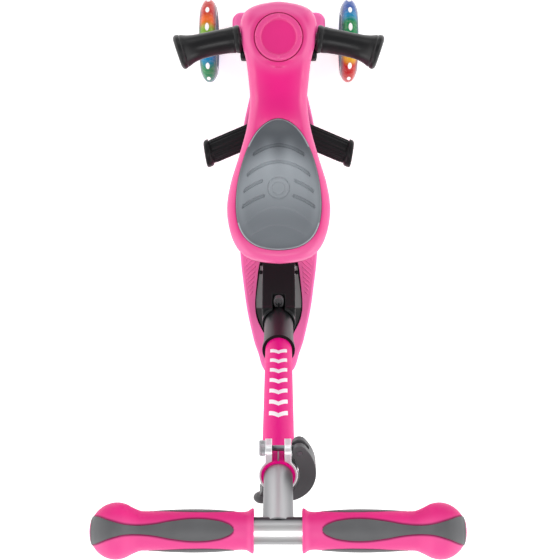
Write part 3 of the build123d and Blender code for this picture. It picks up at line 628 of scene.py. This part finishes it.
def groove(x, y, crown, ends, drop, inner):
    """Depth of a shallow channel that bends as an arc: y falls back from its crown by
    drop at x = ends, between |x| = inner and |x| = ends."""
    line = crown + drop * (x / ends) ** 2
    off = np.abs(y - line) / np.sqrt(1 + (2 * drop * x / ends ** 2) ** 2)
    past = np.clip(np.abs(x) - ends + 1.9, 0, None)
    if inner:
        past = past + np.clip(inner + 1.9 - np.abs(x), 0, None)
    return 1 - step((np.hypot(off, past) - 1.5) / 0.8)


# Each groove is its middle's place along the seat, its half-length, how far its ends fall
# back, and where it starts beside the middle. A faint one has no such start.
GROOVES = [(177.0, 34.0, 12.5, 0), (198.5, 42.0, 18.0, 0), (219.8, 46.5, 18.2, 20.5),
           (240.5, 48.3, 18.2, 18.0)]
FAINT = [(258.8, 42.0, 19.3), (282.3, 32.0, 10.8)]
BUTTON_Y = 233.0


def pad_surface(x, y):
    """Height of the pad: a dish in the middle, a round rim, grooves and a ringed button."""
    depth = PAD.depth(x, y)
    rim = 2.6
    fall = rim * (1 - np.sqrt(1 - (1 - np.clip(depth / rim, 0, 1)) ** 2))
    share = x / np.maximum(PAD.half(y), 1e-6)
    height = SEAT_TOP(y) + 2.2 - 1.6 * np.clip(share, -1, 1) ** 2 - fall
    height -= 1.8 * bump((y - 235) / 60, 1.0) * (1 - share ** 2)
    for crown, ends, drop, inner in GROOVES:
        height -= 2.1 * groove(x, y, crown, ends, drop, inner)
    for crown, ends, drop in FAINT:
        behind = y - crown - drop * (x / ends) ** 2
        short = 1 - step((np.abs(x) - ends) / 6)
        height -= 0.9 * step((behind + 0.7) / 1.4) * (1 - step((behind - 1) / 15)) * short
    from_button = np.hypot(x, y - BUTTON_Y)
    height -= 1.0 * bump(from_button - 14.2, 0.9) + 0.9 * bump(from_button - 8.2, 0.8)
    height += 0.5 * (1 - step((from_button - 12.6) / 1.5))
    return height


def pad_painted_light(x, y, z):
    """Painted light and shade: the pad is dark at its tip, sides and tail, and painted paler in its
    middle, in streaks beside it and along its edge.
    """
    depth = PAD.depth(x, y)
    body = step((y - 172) / 34) * (1 - 0.6 * step((y - 215) / 70)) * step((depth + 4) / 26)
    # Painted highlights: streaks beside the middle, a band low on the flanks and a thin line along
    # the edge
    streak = (0.25 * bump((np.abs(x) - 14.0) / 9.0, 1.0) * step((y - 160) / 20)
              * step((230 - y) / 50))
    flank = 0.4 * bump((depth - 5) / 8, 1.0) * bump((y - 250) / 50, 1.0)
    body = 0.10 + 0.74 * body
    return body + streak + flank + 0.9 * bump(depth - 0.6, 1.0) * (np.abs(y - 229) > 50)


def seat_pad():
    """Rows run from the pad's tip to its tail, each a closed loop over the top and the base."""
    rows, columns = 270, 221
    angle = np.linspace(0, pi, rows)
    y = PAD.y(angle)[:, None]
    x = PAD.half(y) * np.sin(np.linspace(-pi / 2, pi / 2, columns))[None, :]
    yy = np.broadcast_to(y, x.shape)
    top = np.stack([x, yy, pad_surface(x, yy)], -1)
    base = 242.0
    wall = np.stack([top[:, -1, 0], y[:, 0], np.full(rows, base)], -1)[:, None]
    other = wall * np.array((-1, 1, 1))
    loop = np.concatenate([top, wall, other], 1)
    piece = make("seat_pad_top", GROUND(loop.reshape(-1, 3)),
                 grid_faces(rows, loop.shape[1], True))
    shade(piece, pad_painted_light)
    fit(piece, "seat_unit", pad_grey, "pad_grey", "seat_pad")
    return piece


def head_cap():
    """A round lid: a dished middle, a ridge round it, and a nub at its front and rear."""
    edge = CAP_R - 0.3
    line = softened([(-0.3, 0, 0), (0.3, 17, 8), (0.6, 22.2, 0.5), (2.3, 23.2, 1.2), (2.9, 26.5, 3),
                     (1.9, edge, 1.6), (-3.2, edge, 0.6), (-3.2, 0, 0)], 9)
    dense = np.concatenate([np.linspace(a, b, 5)[:-1] for a, b in zip(line[:-1], line[1:])]
                           + [line[-1:]])
    count = 240
    turn = full_turn(count)
    radius = dense[:, 1:2]
    height = np.broadcast_to(dense[:, :1], (len(dense), count)).copy()
    x, y = radius * np.sin(turn), radius * np.cos(turn)
    on_top = height > 0.2
    for side in (-1, 1):
        height += on_top * 1.2 * bump(x, 1.4) * bump(y - side * 26.6, 2.2)
        height -= on_top * 1.2 * bump(y, 0.9) * bump(x - side * 28.0, 1.6)
    grid = np.stack([x, y, height], -1)
    lid = (CAP(grid.reshape(-1, 3)), grid_faces(len(dense), count, True))
    stem = spun(softened([(-14, 0, 0), (-14, 6, 1), (-3, 6, 0), (-3, 0, 0)]), CAP, 48)
    piece = joined("cap_lid", [lid, stem])
    shade(piece, cap_painted_light)
    return fit(piece, "head_cap", pink_shell, "pink_plastic", "cap")


def cap_painted_light(x, y, z):
    """Painted light: the cap is deep pink in its middle and painted paler on its ridge."""
    return 0.12 + 0.42 * step((np.hypot(x, y - CAP_Y) - 20.0) / 4.0)


# ---- toddler handlebar grips ----
BEND = 415.0
SMALL_BAR_Y = 40.0
SMALL_BAR_Z = 275.0


def small_grip(side):
    """Circles carried along the bar's bend; their radius swells at both ends."""
    inner, outer = 48.6, 131.0
    x = np.concatenate([[inner], np.linspace(inner, 120, 70), np.linspace(120.5, outer, 40),
                        [outer]])
    swell = smooth_curve([inner, 50.0, 56, 64, 80, 98, 108, 115, 121, 125.0, 128.5, 130.4, outer],
                         [16.0, 17.4, 17.2, 16.3, 15.9, 16.0, 16.9, 18.6, 21.0, 22.3, 22.0, 19.6,
                          17.6])
    radius = swell(x) - 0.8 * bump(x - 122.5, 0.8) - 0.5 * bump(x - 57.0, 0.8)
    radius[[0, -1]] = 0
    radius[1] -= 0.8
    turn = full_turn(72)
    lean = np.arcsin(x / BEND)
    out = radius[:, None] * np.cos(turn)
    up = radius[:, None] * np.sin(turn)
    px = x[:, None] - out * np.sin(lean)[:, None]
    py = SMALL_BAR_Y + BEND * (1 - np.cos(lean))[:, None] + out * np.cos(lean)[:, None]
    pz = SMALL_BAR_Z + up
    grid = np.stack([side * px, py, pz], -1)
    return GROUND(grid.reshape(-1, 3)), grid_faces(len(x), len(turn), True)


def small_grips():
    piece = joined("toddler_grip_pair", [small_grip(1), small_grip(-1)])
    return fit(piece, "seat_unit", black_rubber, "black_rubber", "toddler_grips")


# ---- footrests ----
PEG_Y = 129.0
PEG_Z = 110.0


def foot_peg(side):
    """An oval peg, fluted lengthwise, with an oval plate on its end."""
    sweep = radians(23.0)
    along = np.concatenate([[4], np.linspace(4, 104, 60), np.linspace(104.4, 115.0, 34), [115.0]])
    turn = full_turn(160)
    flute = 0.5 * np.cos(18 * turn) * (1 - step((along - 101) / 4))[:, None]
    rise = np.sqrt(1 - (1 - np.clip((along - 105.5) / 3.0, 0, 1)) ** 2)[:, None]
    wide = 16.6 + 3.2 * rise + flute
    tall = 12.0 + 6.0 * rise + flute
    end = 1 - 0.20 * (1 - np.sqrt(1 - np.clip((along - 111.0) / 4.0, 0, 1) ** 2))
    end[[0, -1]] = 0
    y = wide * np.cos(turn) * end[:, None]
    z = tall * np.sin(turn) * end[:, None]
    lean = sweep * (1 - 0.6 * step((along - 100) / 10))
    base_x = along * np.cos(sweep)
    base_y = along * np.sin(sweep)
    px = base_x[:, None] - y * np.sin(lean)[:, None]
    py = PEG_Y + base_y[:, None] + y * np.cos(lean)[:, None]
    grid = np.stack([side * px, py, PEG_Z + z], -1)
    return GROUND(grid.reshape(-1, 3)), grid_faces(len(along), len(turn), True)


def rounded_box(x, y, z, soft):
    """A box with rounded upright corners and a rounded top: superellipse rings."""
    turn = full_turn(48)
    power = 0.35
    cx = np.sign(np.cos(turn)) * np.abs(np.cos(turn)) ** power
    cy = np.sign(np.sin(turn)) * np.abs(np.sin(turn)) ** power
    hx, hy = (x[1] - x[0]) / 2, (y[1] - y[0]) / 2
    rings = [(z[0], None), (z[0], 0), (z[1] - soft, 0), (z[1] - 0.4 * soft, 0.25 * soft),
             (z[1], soft), (z[1], None)]
    grid = []
    for height, inset in rings:
        a = 0 if inset is None else hx - inset
        b = 0 if inset is None else hy - inset
        grid.append(np.stack([(x[0] + x[1]) / 2 + a * cx, (y[0] + y[1]) / 2 + b * cy,
                              np.full(len(turn), height)], -1))
    return GROUND(np.concatenate(grid)), grid_faces(len(rings), len(turn), True)


def footrests():
    """The saddle over the deck, a peg to each side of it and the pins under it."""
    saddle = rounded_box((-30, 30), (111, 159), (85, 120), 5)
    pins = [spun([(76, 0), (76, 3.4), (77, 4), (86, 4), (86, 0)],
                 Placing(GROUND((side * 22.0, 135.0, 0.0))), 32) for side in (-1, 1)]
    piece = joined("footrest_bar", [saddle, foot_peg(1), foot_peg(-1), *pins])
    return fit(piece, "footrests", black_plastic, "black_plastic", "footrest")


# ---- grips of the push handle ----
GRIP_END = 179.4
GRIP_X = [23.6, 25.0, 28.5, 34, 42, 60, 80, 105, 124, 131, 138, 146, 153.5, 161, 168, 174, 178,
          GRIP_END]
GRIP_R = [21.2, 20.9, 18.6, 17.7, 18.2, 19.5, 20.0, 19.3, 18.4, 18.8, 21.6, 25.4, 26.6, 25.4, 21.8,
          15.6, 8.0, 0.0]
grip_radius = smooth_curve(GRIP_X, GRIP_R)
long_half = smooth_curve([41, 43, 50, 62, 80, 100, 118, 130, 144, 158, 170, 177],
                         [0.5, 3.0, 7.0, 9.8, 10.7, 8.6, 5.4, 4.4, 5.2, 9.0, 13.0, 14.0])
short_half = smooth_curve([41, 43, 50, 62, 80, 100, 116, 123],
                          [0.5, 3.0, 6.6, 9.2, 10.0, 7.8, 3.6, 0.5])
# Each strip let into a grip: where it is round the grip, its half-widths, and its ends
STRIPS = [(radians(-15), long_half, 41.4, 176.4), (radians(75), short_half, 41.4, 122.6),
          (radians(-105), short_half, 41.4, 122.6)]


def grip_rows(start, end, count):
    """Places along the grip, closer together towards its round end."""
    return start + (end - start) * np.sin(np.linspace(0, pi / 2, count))


def strip_depth(x, turn, radius):
    """How far inside the nearest strip a place of the grip lies, in mm, negative outside."""
    best = np.full(np.broadcast(x, turn).shape, -99.0)
    for centre, half, start, end in STRIPS:
        width = np.where((x > start) & (x < end), half(x), 0.0)
        edge = np.arcsin(np.clip(width / np.maximum(radius, 1.0), 0, 1))
        off = np.abs((turn - centre + pi) % (2 * pi) - pi)
        best = np.maximum(best, np.where(width > 0, (edge - off) * radius, -99.0))
    return best


def round_grip(side, x, r, turn):
    """Points at radius r round the crossbar, x along it; the angle runs from the top."""
    grid = np.stack([side * np.broadcast_to(x[:, None], r.shape), r * np.sin(turn),
                     r * np.cos(turn)], -1)
    return CROSSBAR(grid.reshape(-1, 3))


def hand_grip(side):
    """A spun skin that sinks 1 mm under each strip, with painted shade that makes it deeper pink on
    its front.
    """
    x = np.concatenate([[22.9, 22.9, 23.1, 23.6], grip_rows(24.4, GRIP_END, 190)])
    radius = np.maximum(grip_radius(x), 0)
    radius[:4] = 13.0, 18.6, 20.2, 21.1
    turn = full_turn(216)
    near = strip_depth(x[:, None], turn[None, :], radius[:, None])
    r = radius[:, None] - 1.0 * step((near + 0.4) / 0.8)
    piece = make("grip_skin_%s" % ("left" if side > 0 else "right"),
                 round_grip(side, x, r, turn), grid_faces(len(x), len(turn), True), 60)
    centre = (crossbar_at - GROUND.origin) / MM

    # Painted shade: deep pink on the grip's front, turning to the painted paler pink towards its
    # top and rear
    def light(x, y, z):
        back = (y - centre[1]) / np.maximum(np.hypot(y - centre[1], z - centre[2]), 1.0)
        return 0.05 + 0.95 * step((back + 0.92) / 0.55)

    def outline(x, y, z):
        size = grip_radius(np.abs(x))
        near = strip_depth(np.abs(x), np.arctan2(y - centre[1], z - centre[2]), size)
        return 0.85 * bump((near + 0.2) / 1.1, 1.0)

    shade(piece, light)
    shade(piece, outline, "line")
    return piece


def inlay_patch(side, centre, half, start, end):
    """The soft strip let into a grip: a patch of the grip's own surface, slightly crowned."""
    x = start + (end - start) * (1 - np.cos(np.linspace(0, pi, 110))) / 2
    share = np.sin(np.linspace(-pi / 2, pi / 2, 25))
    radius = grip_radius(x)[:, None]
    edge = np.arcsin(np.clip((half(x) - 0.45)[:, None] / radius, 0, 1))
    turn = centre + edge * share
    r = radius + 0.25 * np.sqrt(np.clip(1 - share ** 2, 0, 1)) - 0.35 * (np.abs(share) > 0.99)
    r[:, [0, -1]] -= 0.9
    return round_grip(side, x, r, turn), grid_faces(len(x), len(share), False)


def push_grips():
    """Both grips of the push handle, and the strips let into them as one piece."""
    for side, word in ((1, "left"), (-1, "right")):
        fit(hand_grip(side), "upper_bar", pink_rubber, "pink_rubber", "grip_%s" % word)
    patches = [inlay_patch(side, *strip) for side in (1, -1) for strip in STRIPS]
    piece = joined("grip_inlay_strips", patches, 50)
    return fit(piece, "upper_bar", inlay_grey, "inlay_grey", "grip_inlays")


# ---- clamp, lever, dock and tube ----
CLAMP_OUT = 25.0
CLAMP_AT = 475.0


def refined(name, node, body, finish, slot, grain, passes):
    """A copy of a frame node with its edges rounded: an even skin of small faces, smoothed."""
    mesh = frame["nodes"][node].data.copy()
    mesh.name = name
    clean(mesh, 30)
    piece = put(name, mesh)
    skin = piece.modifiers.new("skin", "REMESH")
    skin.mode = "VOXEL"
    skin.voxel_size = grain * MM
    skin.use_smooth_shade = True
    even = piece.modifiers.new("even", "SMOOTH")
    even.iterations = passes
    settle(piece)
    return fit(piece, body, finish, slot, node)


def settle(piece):
    """Applies the piece's modifiers to its mesh."""
    bpy.context.view_layer.update()
    shown = piece.evaluated_get(bpy.context.evaluated_depsgraph_get())
    mesh = bpy.data.meshes.new_from_object(shown)
    piece.modifiers.clear()
    old = piece.data
    piece.data = mesh
    bpy.data.meshes.remove(old)
    mesh.polygons.foreach_set("use_smooth", np.ones(len(mesh.polygons), bool))


def clamp_nut():
    """A round nut with a knurled rim, on the end of the clamp bolt."""
    x = np.array([13.5, 13.5, 14.0, 19.0, 20.0, 20.6, 20.8])
    radius = np.array([0, 7.2, 7.9, 7.9, 7.2, 4.8, 0])
    ridge = np.array([0, 0, 1, 1, 0.3, 0, 0])
    turn = full_turn(192)
    r = radius[:, None] + 0.3 * ridge[:, None] * np.cos(32 * turn)
    grid = np.stack([np.broadcast_to(x[:, None], r.shape), r * np.cos(turn) - CLAMP_OUT,
                     r * np.sin(turn) + CLAMP_AT], -1)
    piece = make("knurled_nut", BAR(grid.reshape(-1, 3)), grid_faces(len(x), len(turn), True), 50)
    return fit(piece, "t_bar", nut_steel, "silver", "clamp_nut")


def bolt_in_nut():
    """The clamp's bolt, its end drawn back so that it stays inside the domed nut."""
    mesh = frame["nodes"]["clamp_bolt"].data.copy()
    mesh.name = "clamp_bolt_shank"
    clean(mesh, 35)
    points = mesh_points(mesh)
    points[0::3] = np.minimum(points[0::3], 20.2 * MM)
    mesh.vertices.foreach_set("co", points)
    mesh.update()
    return fit(put("clamp_bolt_shank", mesh), "t_bar", screw_steel, "screw_steel", "clamp_bolt")


def tube_marks():
    """White chevrons on the front of the lower tube, a film 0.15 mm proud of the paint.

    Each is a bent strip whose middle stands higher up the tube than its ends.
    """
    marks = []
    for start in np.arange(184.0, 372.0, 30.0):
        u = np.linspace(-1, 1, 41)[:, None]
        v = np.linspace(0, 1, 7)[None, :]
        x = 11.0 * u + 0 * v
        along = start + 13.0 * (1 - np.abs(u)) + 12.5 * v
        rim = (np.abs(u) > 0.99) | (v < 0.01) | (v > 0.99)
        r = np.where(rim, 17.35, 17.65)
        grid = np.stack([x, -np.sqrt(r ** 2 - x ** 2), along], -1)
        marks.append((BAR(grid.reshape(-1, 3)), grid_faces(u.size, v.size, False)))
    return fit(joined("tube_chevrons", marks, 60), "t_bar", mark_white, "white_core")


# ---- deck ----
def capsule(start, end, radius, squash):
    """A round-ended rod between two points, its height multiplied by squash."""
    start, end = np.array(start, float), np.array(end, float)
    length = np.linalg.norm(end - start)
    way = (end - start) / length
    side = np.array((-way[1], way[0], 0.0))
    swing = np.linspace(0, pi / 2, 5)
    along = np.concatenate([-radius * np.cos(swing), length + radius * np.sin(swing)])
    size = radius * np.concatenate([np.sin(swing), np.cos(swing)])
    turn = full_turn(14)
    grid = (start + along[:, None, None] * way + size[:, None, None] * (
        np.cos(turn)[:, None] * side + squash * np.sin(turn)[:, None] * np.array((0, 0, 1.0))))
    return GROUND(grid.reshape(-1, 3)), grid_faces(len(along), len(turn), True)


deck_half = smooth_curve([60, 90, 122, 175, 245, 333, 362, 406],
                         [37, 43.3, 50.5, 55.4, 57.2, 55, 51.5, 45])
slot_half = smooth_curve([315, 334, 366, 399, 418, 432, 444],
                         [28, 29.1, 33, 34.3, 29.5, 22.2, 17.4])
SLOT_START = 318
DECK_TOP = 85.0


def deck_ribs():
    """Short slanted ribs on both sides of the deck, for the foot to grip."""
    ribs = []
    for y in np.arange(128.0, 382.0, 7.4):
        inner = 35.0 if y < SLOT_START else float(slot_half(y)) + 5.5
        outer = float(deck_half(y)) - 7.5
        if outer - inner < 3:
            continue
        for side in (-1, 1):
            start = (side * inner, y, DECK_TOP - 0.1)
            end = (side * outer, y + 0.9 * (outer - inner), DECK_TOP - 0.2)
            ribs.append(capsule(start, end, 1.0, 0.8))
    return fit(joined("deck_ribs", ribs, 60), "deck", pink_deck_lit, "pink_plastic")


def slot_skirt():
    """A dark lip under each edge of the deck's slot, that closes the gap beside the brake."""
    y = np.linspace(317, 443, 60)
    outer, inner = slot_half(y) + 1.5, slot_half(y) - 5.0
    low, high = 60.4, 62.6
    shapes = []
    for side in (-1, 1):
        rings = [(outer, low), (outer, high), (inner, high), (inner, low)]
        grid = np.stack([np.stack([side * x, y, np.full(len(y), z)], -1) for x, z in rings], 1)
        ends = [grid[0].mean(0) + 0 * grid[:1], grid, grid[-1].mean(0) + 0 * grid[-1:]]
        shapes.append((GROUND(np.concatenate(ends).reshape(-1, 3)),
                       grid_faces(len(y) + 2, len(rings), True)))
    return fit(joined("slot_skirt", shapes, 40), "deck", black_plastic, "black_plastic")


def brake_pin_caps():
    """Two low round caps over the ends of the brake's pin."""
    profile = [(82.6, 0), (82.6, 2.9), (83.3, 2.9), (83.9, 2.2), (84.1, 0)]
    shapes = [spun(profile, Placing(GROUND((side * 26.2, 343.5, 0))), 40) for side in (-1, 1)]
    return fit(joined("brake_pin_caps", shapes, 50), "brake", black_plastic, "black_plastic")


def button_head():
    """The spring button's head: round towards the front, with a ring pressed into its end."""
    turn = np.linspace(-pi / 2, pi / 2, 41)
    arc = np.stack([7.0 * np.sin(turn), -7.0 * np.cos(turn)], -1)
    loop = np.concatenate([arc, [(7.0, 4.0), (5.0, 7.0), (-5.0, 7.0), (-7.0, 4.0)]])
    steps = [(39.0, 0), (39.0, 1), (49.4, 1), (50.0, 0.92), (50.0, 0.70), (49.3, 0.62),
             (49.3, 0.52), (50.0, 0.44), (50.0, 0)]
    out = 27.9
    grid = [np.stack([size * loop[:, 0], size * loop[:, 1] - out, np.full(len(loop), along)], -1)
            for along, size in steps]
    shape = (BAR(np.concatenate(grid)), grid_faces(len(steps), len(loop), True))
    # The head is black plastic given the lever's lighter grey: a painted highlight
    return fit(joined("button_head", [shape], 40), "bar_button", lever_grey, "black_plastic")


def lever_tip():
    """The lever's thumb end, a flattened egg where it comes round the tube."""
    rise = np.linspace(-pi / 2, pi / 2, 25)[:, None]
    turn = full_turn(48)[None, :]
    across, behind, along = 17.0, 28.6, 483.0
    grid = np.stack([across + 9.2 * np.sin(rise) + 0 * turn,
                     behind + 4.6 * np.cos(rise) * np.cos(turn),
                     along + 10.5 * np.cos(rise) * np.sin(turn)], -1)
    shape = (BAR(grid.reshape(-1, 3)), grid_faces(rise.size, turn.size, True))
    return fit(joined("lever_tip", [shape], 60), "clamp_lever", lever_grey, "dark_grey_plastic")


def bar_boots():
    """Small rounded covers where the toddler bar leaves the head."""
    shapes = [rounded_box(sorted((side * 40.0, side * 49.8)), (47, 68.0), (256, 276), 4.5)
              for side in (-1, 1)]
    return fit(joined("bar_boots", shapes, 50), "seat_unit", black_plastic, "black_plastic")


# ---- wheels ----
def front_tyre(side, word, stops):
    """A fat round tyre, spun round the axle."""
    at = middle("tyre_%s" % word)
    across = TYRE_HALF * np.sin(np.linspace(-pi / 2, pi / 2, 49))
    crown = 60.4 - 12.5 * np.abs(across / TYRE_HALF) ** 2.5
    left, right = (-TYRE_HALF, 43), (TYRE_HALF, 43)
    profile = np.concatenate([[left], np.stack([across, crown], -1), [right, left]])
    piece = joined("light_tyre_%s" % word, [spun(profile, Placing(at), 160, True)])
    glow = wheel_glow("glow_%s" % word, "tyre_%s" % word, stops)
    return fit(piece, "front_wheel_%s" % word, glow, "clear_tyre", "tyre_%s" % word)


# Each stop is an angle in degrees round the axle and the colour of the light there
RED, ORANGE = (0.46, 0.004, 0.006), (0.74, 0.12, 0.008)
BLUE, CYAN, GREEN = (0.0, 0.055, 0.30), (0.0, 0.20, 0.42), (0.0, 0.20, 0.06)
LIME, YELLOW = (0.18, 0.36, 0.015), (0.70, 0.38, 0.015)
LEFT_STOPS = [(-100, RED), (-34, RED), (-19, ORANGE), (-4, LIME), (20, BLUE), (36, CYAN),
              (56, GREEN), (130, BLUE)]
RIGHT_STOPS = [(-100, BLUE), (-42, BLUE), (-28, CYAN), (-15, GREEN), (2, GREEN), (24, LIME),
               (36, YELLOW), (50, RED), (130, RED)]

# ---- finishes of the frame's own nodes ----
FINISHES = {
    steel: ["backbone", "fork_plates", "brake_spring", "toddler_bar"],
    screw_steel: ["deck_screws", "housing_screws", "kingpin_bolt", "kingpin_nut", "rear_axle_bolt",
                  "rear_axle_nut", "rear_spacers", "dock_screws", "brake_pin", "front_axle_bolts",
                  "seat_screws", "lever_pin"],
    cast_alloy: ["front_casting", "axle_beam"],
    # The nose housing takes the deck's lighter pink as painted light against the shade it lies in
    pink_deck_lit: ["deck_board", "nose_housing"],
    tube_pink: ["column_tube", "lower_tube", "tube_bush"],
    black_plastic: ["bar_sleeve", "bar_button", "column_bush", "toddler_hub", "seat_underside",
                    "seat_button"],
    black_rubber: ["steer_bush", "rear_tyre"],
    brake_grey: ["brake_flap"],
    lever_grey: ["magnet_cores", "rear_core"],
    clamp_alloy: ["bearings_left", "bearings_right", "rear_bearings"],
    satin_tube: ["upper_tube"],
    bright_bar: ["crossbar"],
    core_white: ["core_left", "core_right", "led_ring_left", "led_ring_right"],
}


def finish_nodes():
    """Each node that no piece stands for gets its finish."""
    for finish, names in FINISHES.items():
        for name in names:
            node = frame["nodes"][name]
            node.data.materials.clear()
            node.data.materials.append(finish)


# ---- floor, light and camera ----
def stage():
    """A pale floor that gives off a little light of its own, so that its far parts stay white."""
    plane = bpy.data.meshes.new("floor")
    half = 6.0
    plane.from_pydata([(-half, -half, 0), (half, -half, 0), (half, half, 0), (-half, half, 0)],
                      [], [(0, 1, 2, 3)])
    floor = put("floor", plane)
    pale = Sheet("pale_floor", Roughness=0.9, Specular_IOR_Level=0.1, Emission_Strength=0.5)
    pale.use(Emission_Color=(1, 1, 1, 1))
    pale.use(Base_Color=pale.blend(pale.noise(3.0), (0.93, 0.93, 0.93, 1), (0.95, 0.95, 0.95, 1)))
    plane.materials.append(pale.material)


def lamp(name, energy, place, target, size):
    """A square lamp of that size at a place, turned towards its target, all in metres."""
    data = bpy.data.lights.new(name, "AREA")
    data.energy = energy
    data.size = size
    light = put(name, data)
    light.location = place
    light.rotation_euler = (Vector(target) - Vector(place)).to_track_quat("-Z", "Y").to_euler()


def lights():
    """A soft sky that is brighter to both sides, and four lamps."""
    world = bpy.context.scene.world or bpy.data.worlds.new("world")
    bpy.context.scene.world = world
    world.use_nodes = True
    sky = Nodes(world.node_tree)
    x = sky.parts(sky.wire("ShaderNodeTexCoord", {}, {}, "Generated"))[0]
    beside = x.math("ABSOLUTE", x).between(0.35, 0.85)
    sky.feed(world.node_tree.nodes["Background"], {0: (1, 1, 1, 1), 1: 0.36 + 1.6 * beside})
    lamp("top", 7.5, (0.0, 0.66, 2.2), (0, 0.25, 0.3), 0.8)
    lamp("front", 3.5, (0.0, -1.8, 1.2), (0, -0.2, 0.25), 1.0)
    lamp("rear_left", 7.0, (1.7, 1.9, 1.0), (0, 0.1, 0.3), 1.0)
    lamp("rear_right", 7.0, (-1.7, 1.9, 1.0), (0, 0.1, 0.3), 1.0)


def camera():
    """Straight above, level with the push handle's foot, its top edge towards the front."""
    data = bpy.data.cameras.new("camera")
    data.lens = 72.0
    eye = put("camera", data)
    height = 1.724
    eye.location = (-0.0018, GROUND((0, 354.7, 0))[1], height)
    eye.rotation_euler = Euler((0, 0, pi))
    bpy.context.scene.camera = eye


camera()
lights()
stage()
finish_nodes()
seat_shell()
seat_pad()
head_cap()
small_grips()
footrests()
push_grips()
front_tyre(1, "left", LEFT_STOPS)
front_tyre(-1, "right", RIGHT_STOPS)
refined("clamp_collar_skin", "clamp_collar", "t_bar", clamp_alloy, "silver", 0.5, 4)
refined("lever_skin", "lever", "clamp_lever", lever_grey, "dark_grey_plastic", 0.55, 6)
refined("dock_skin", "rear_dock", "deck", black_plastic, "black_plastic", 1.0, 6)
clamp_nut()
bolt_in_nut()
button_head()
tube_marks()
deck_ribs()
slot_skirt()
bar_boots()
brake_pin_caps()
lever_tip()

bpy.context.scene.view_settings.view_transform = "Standard"
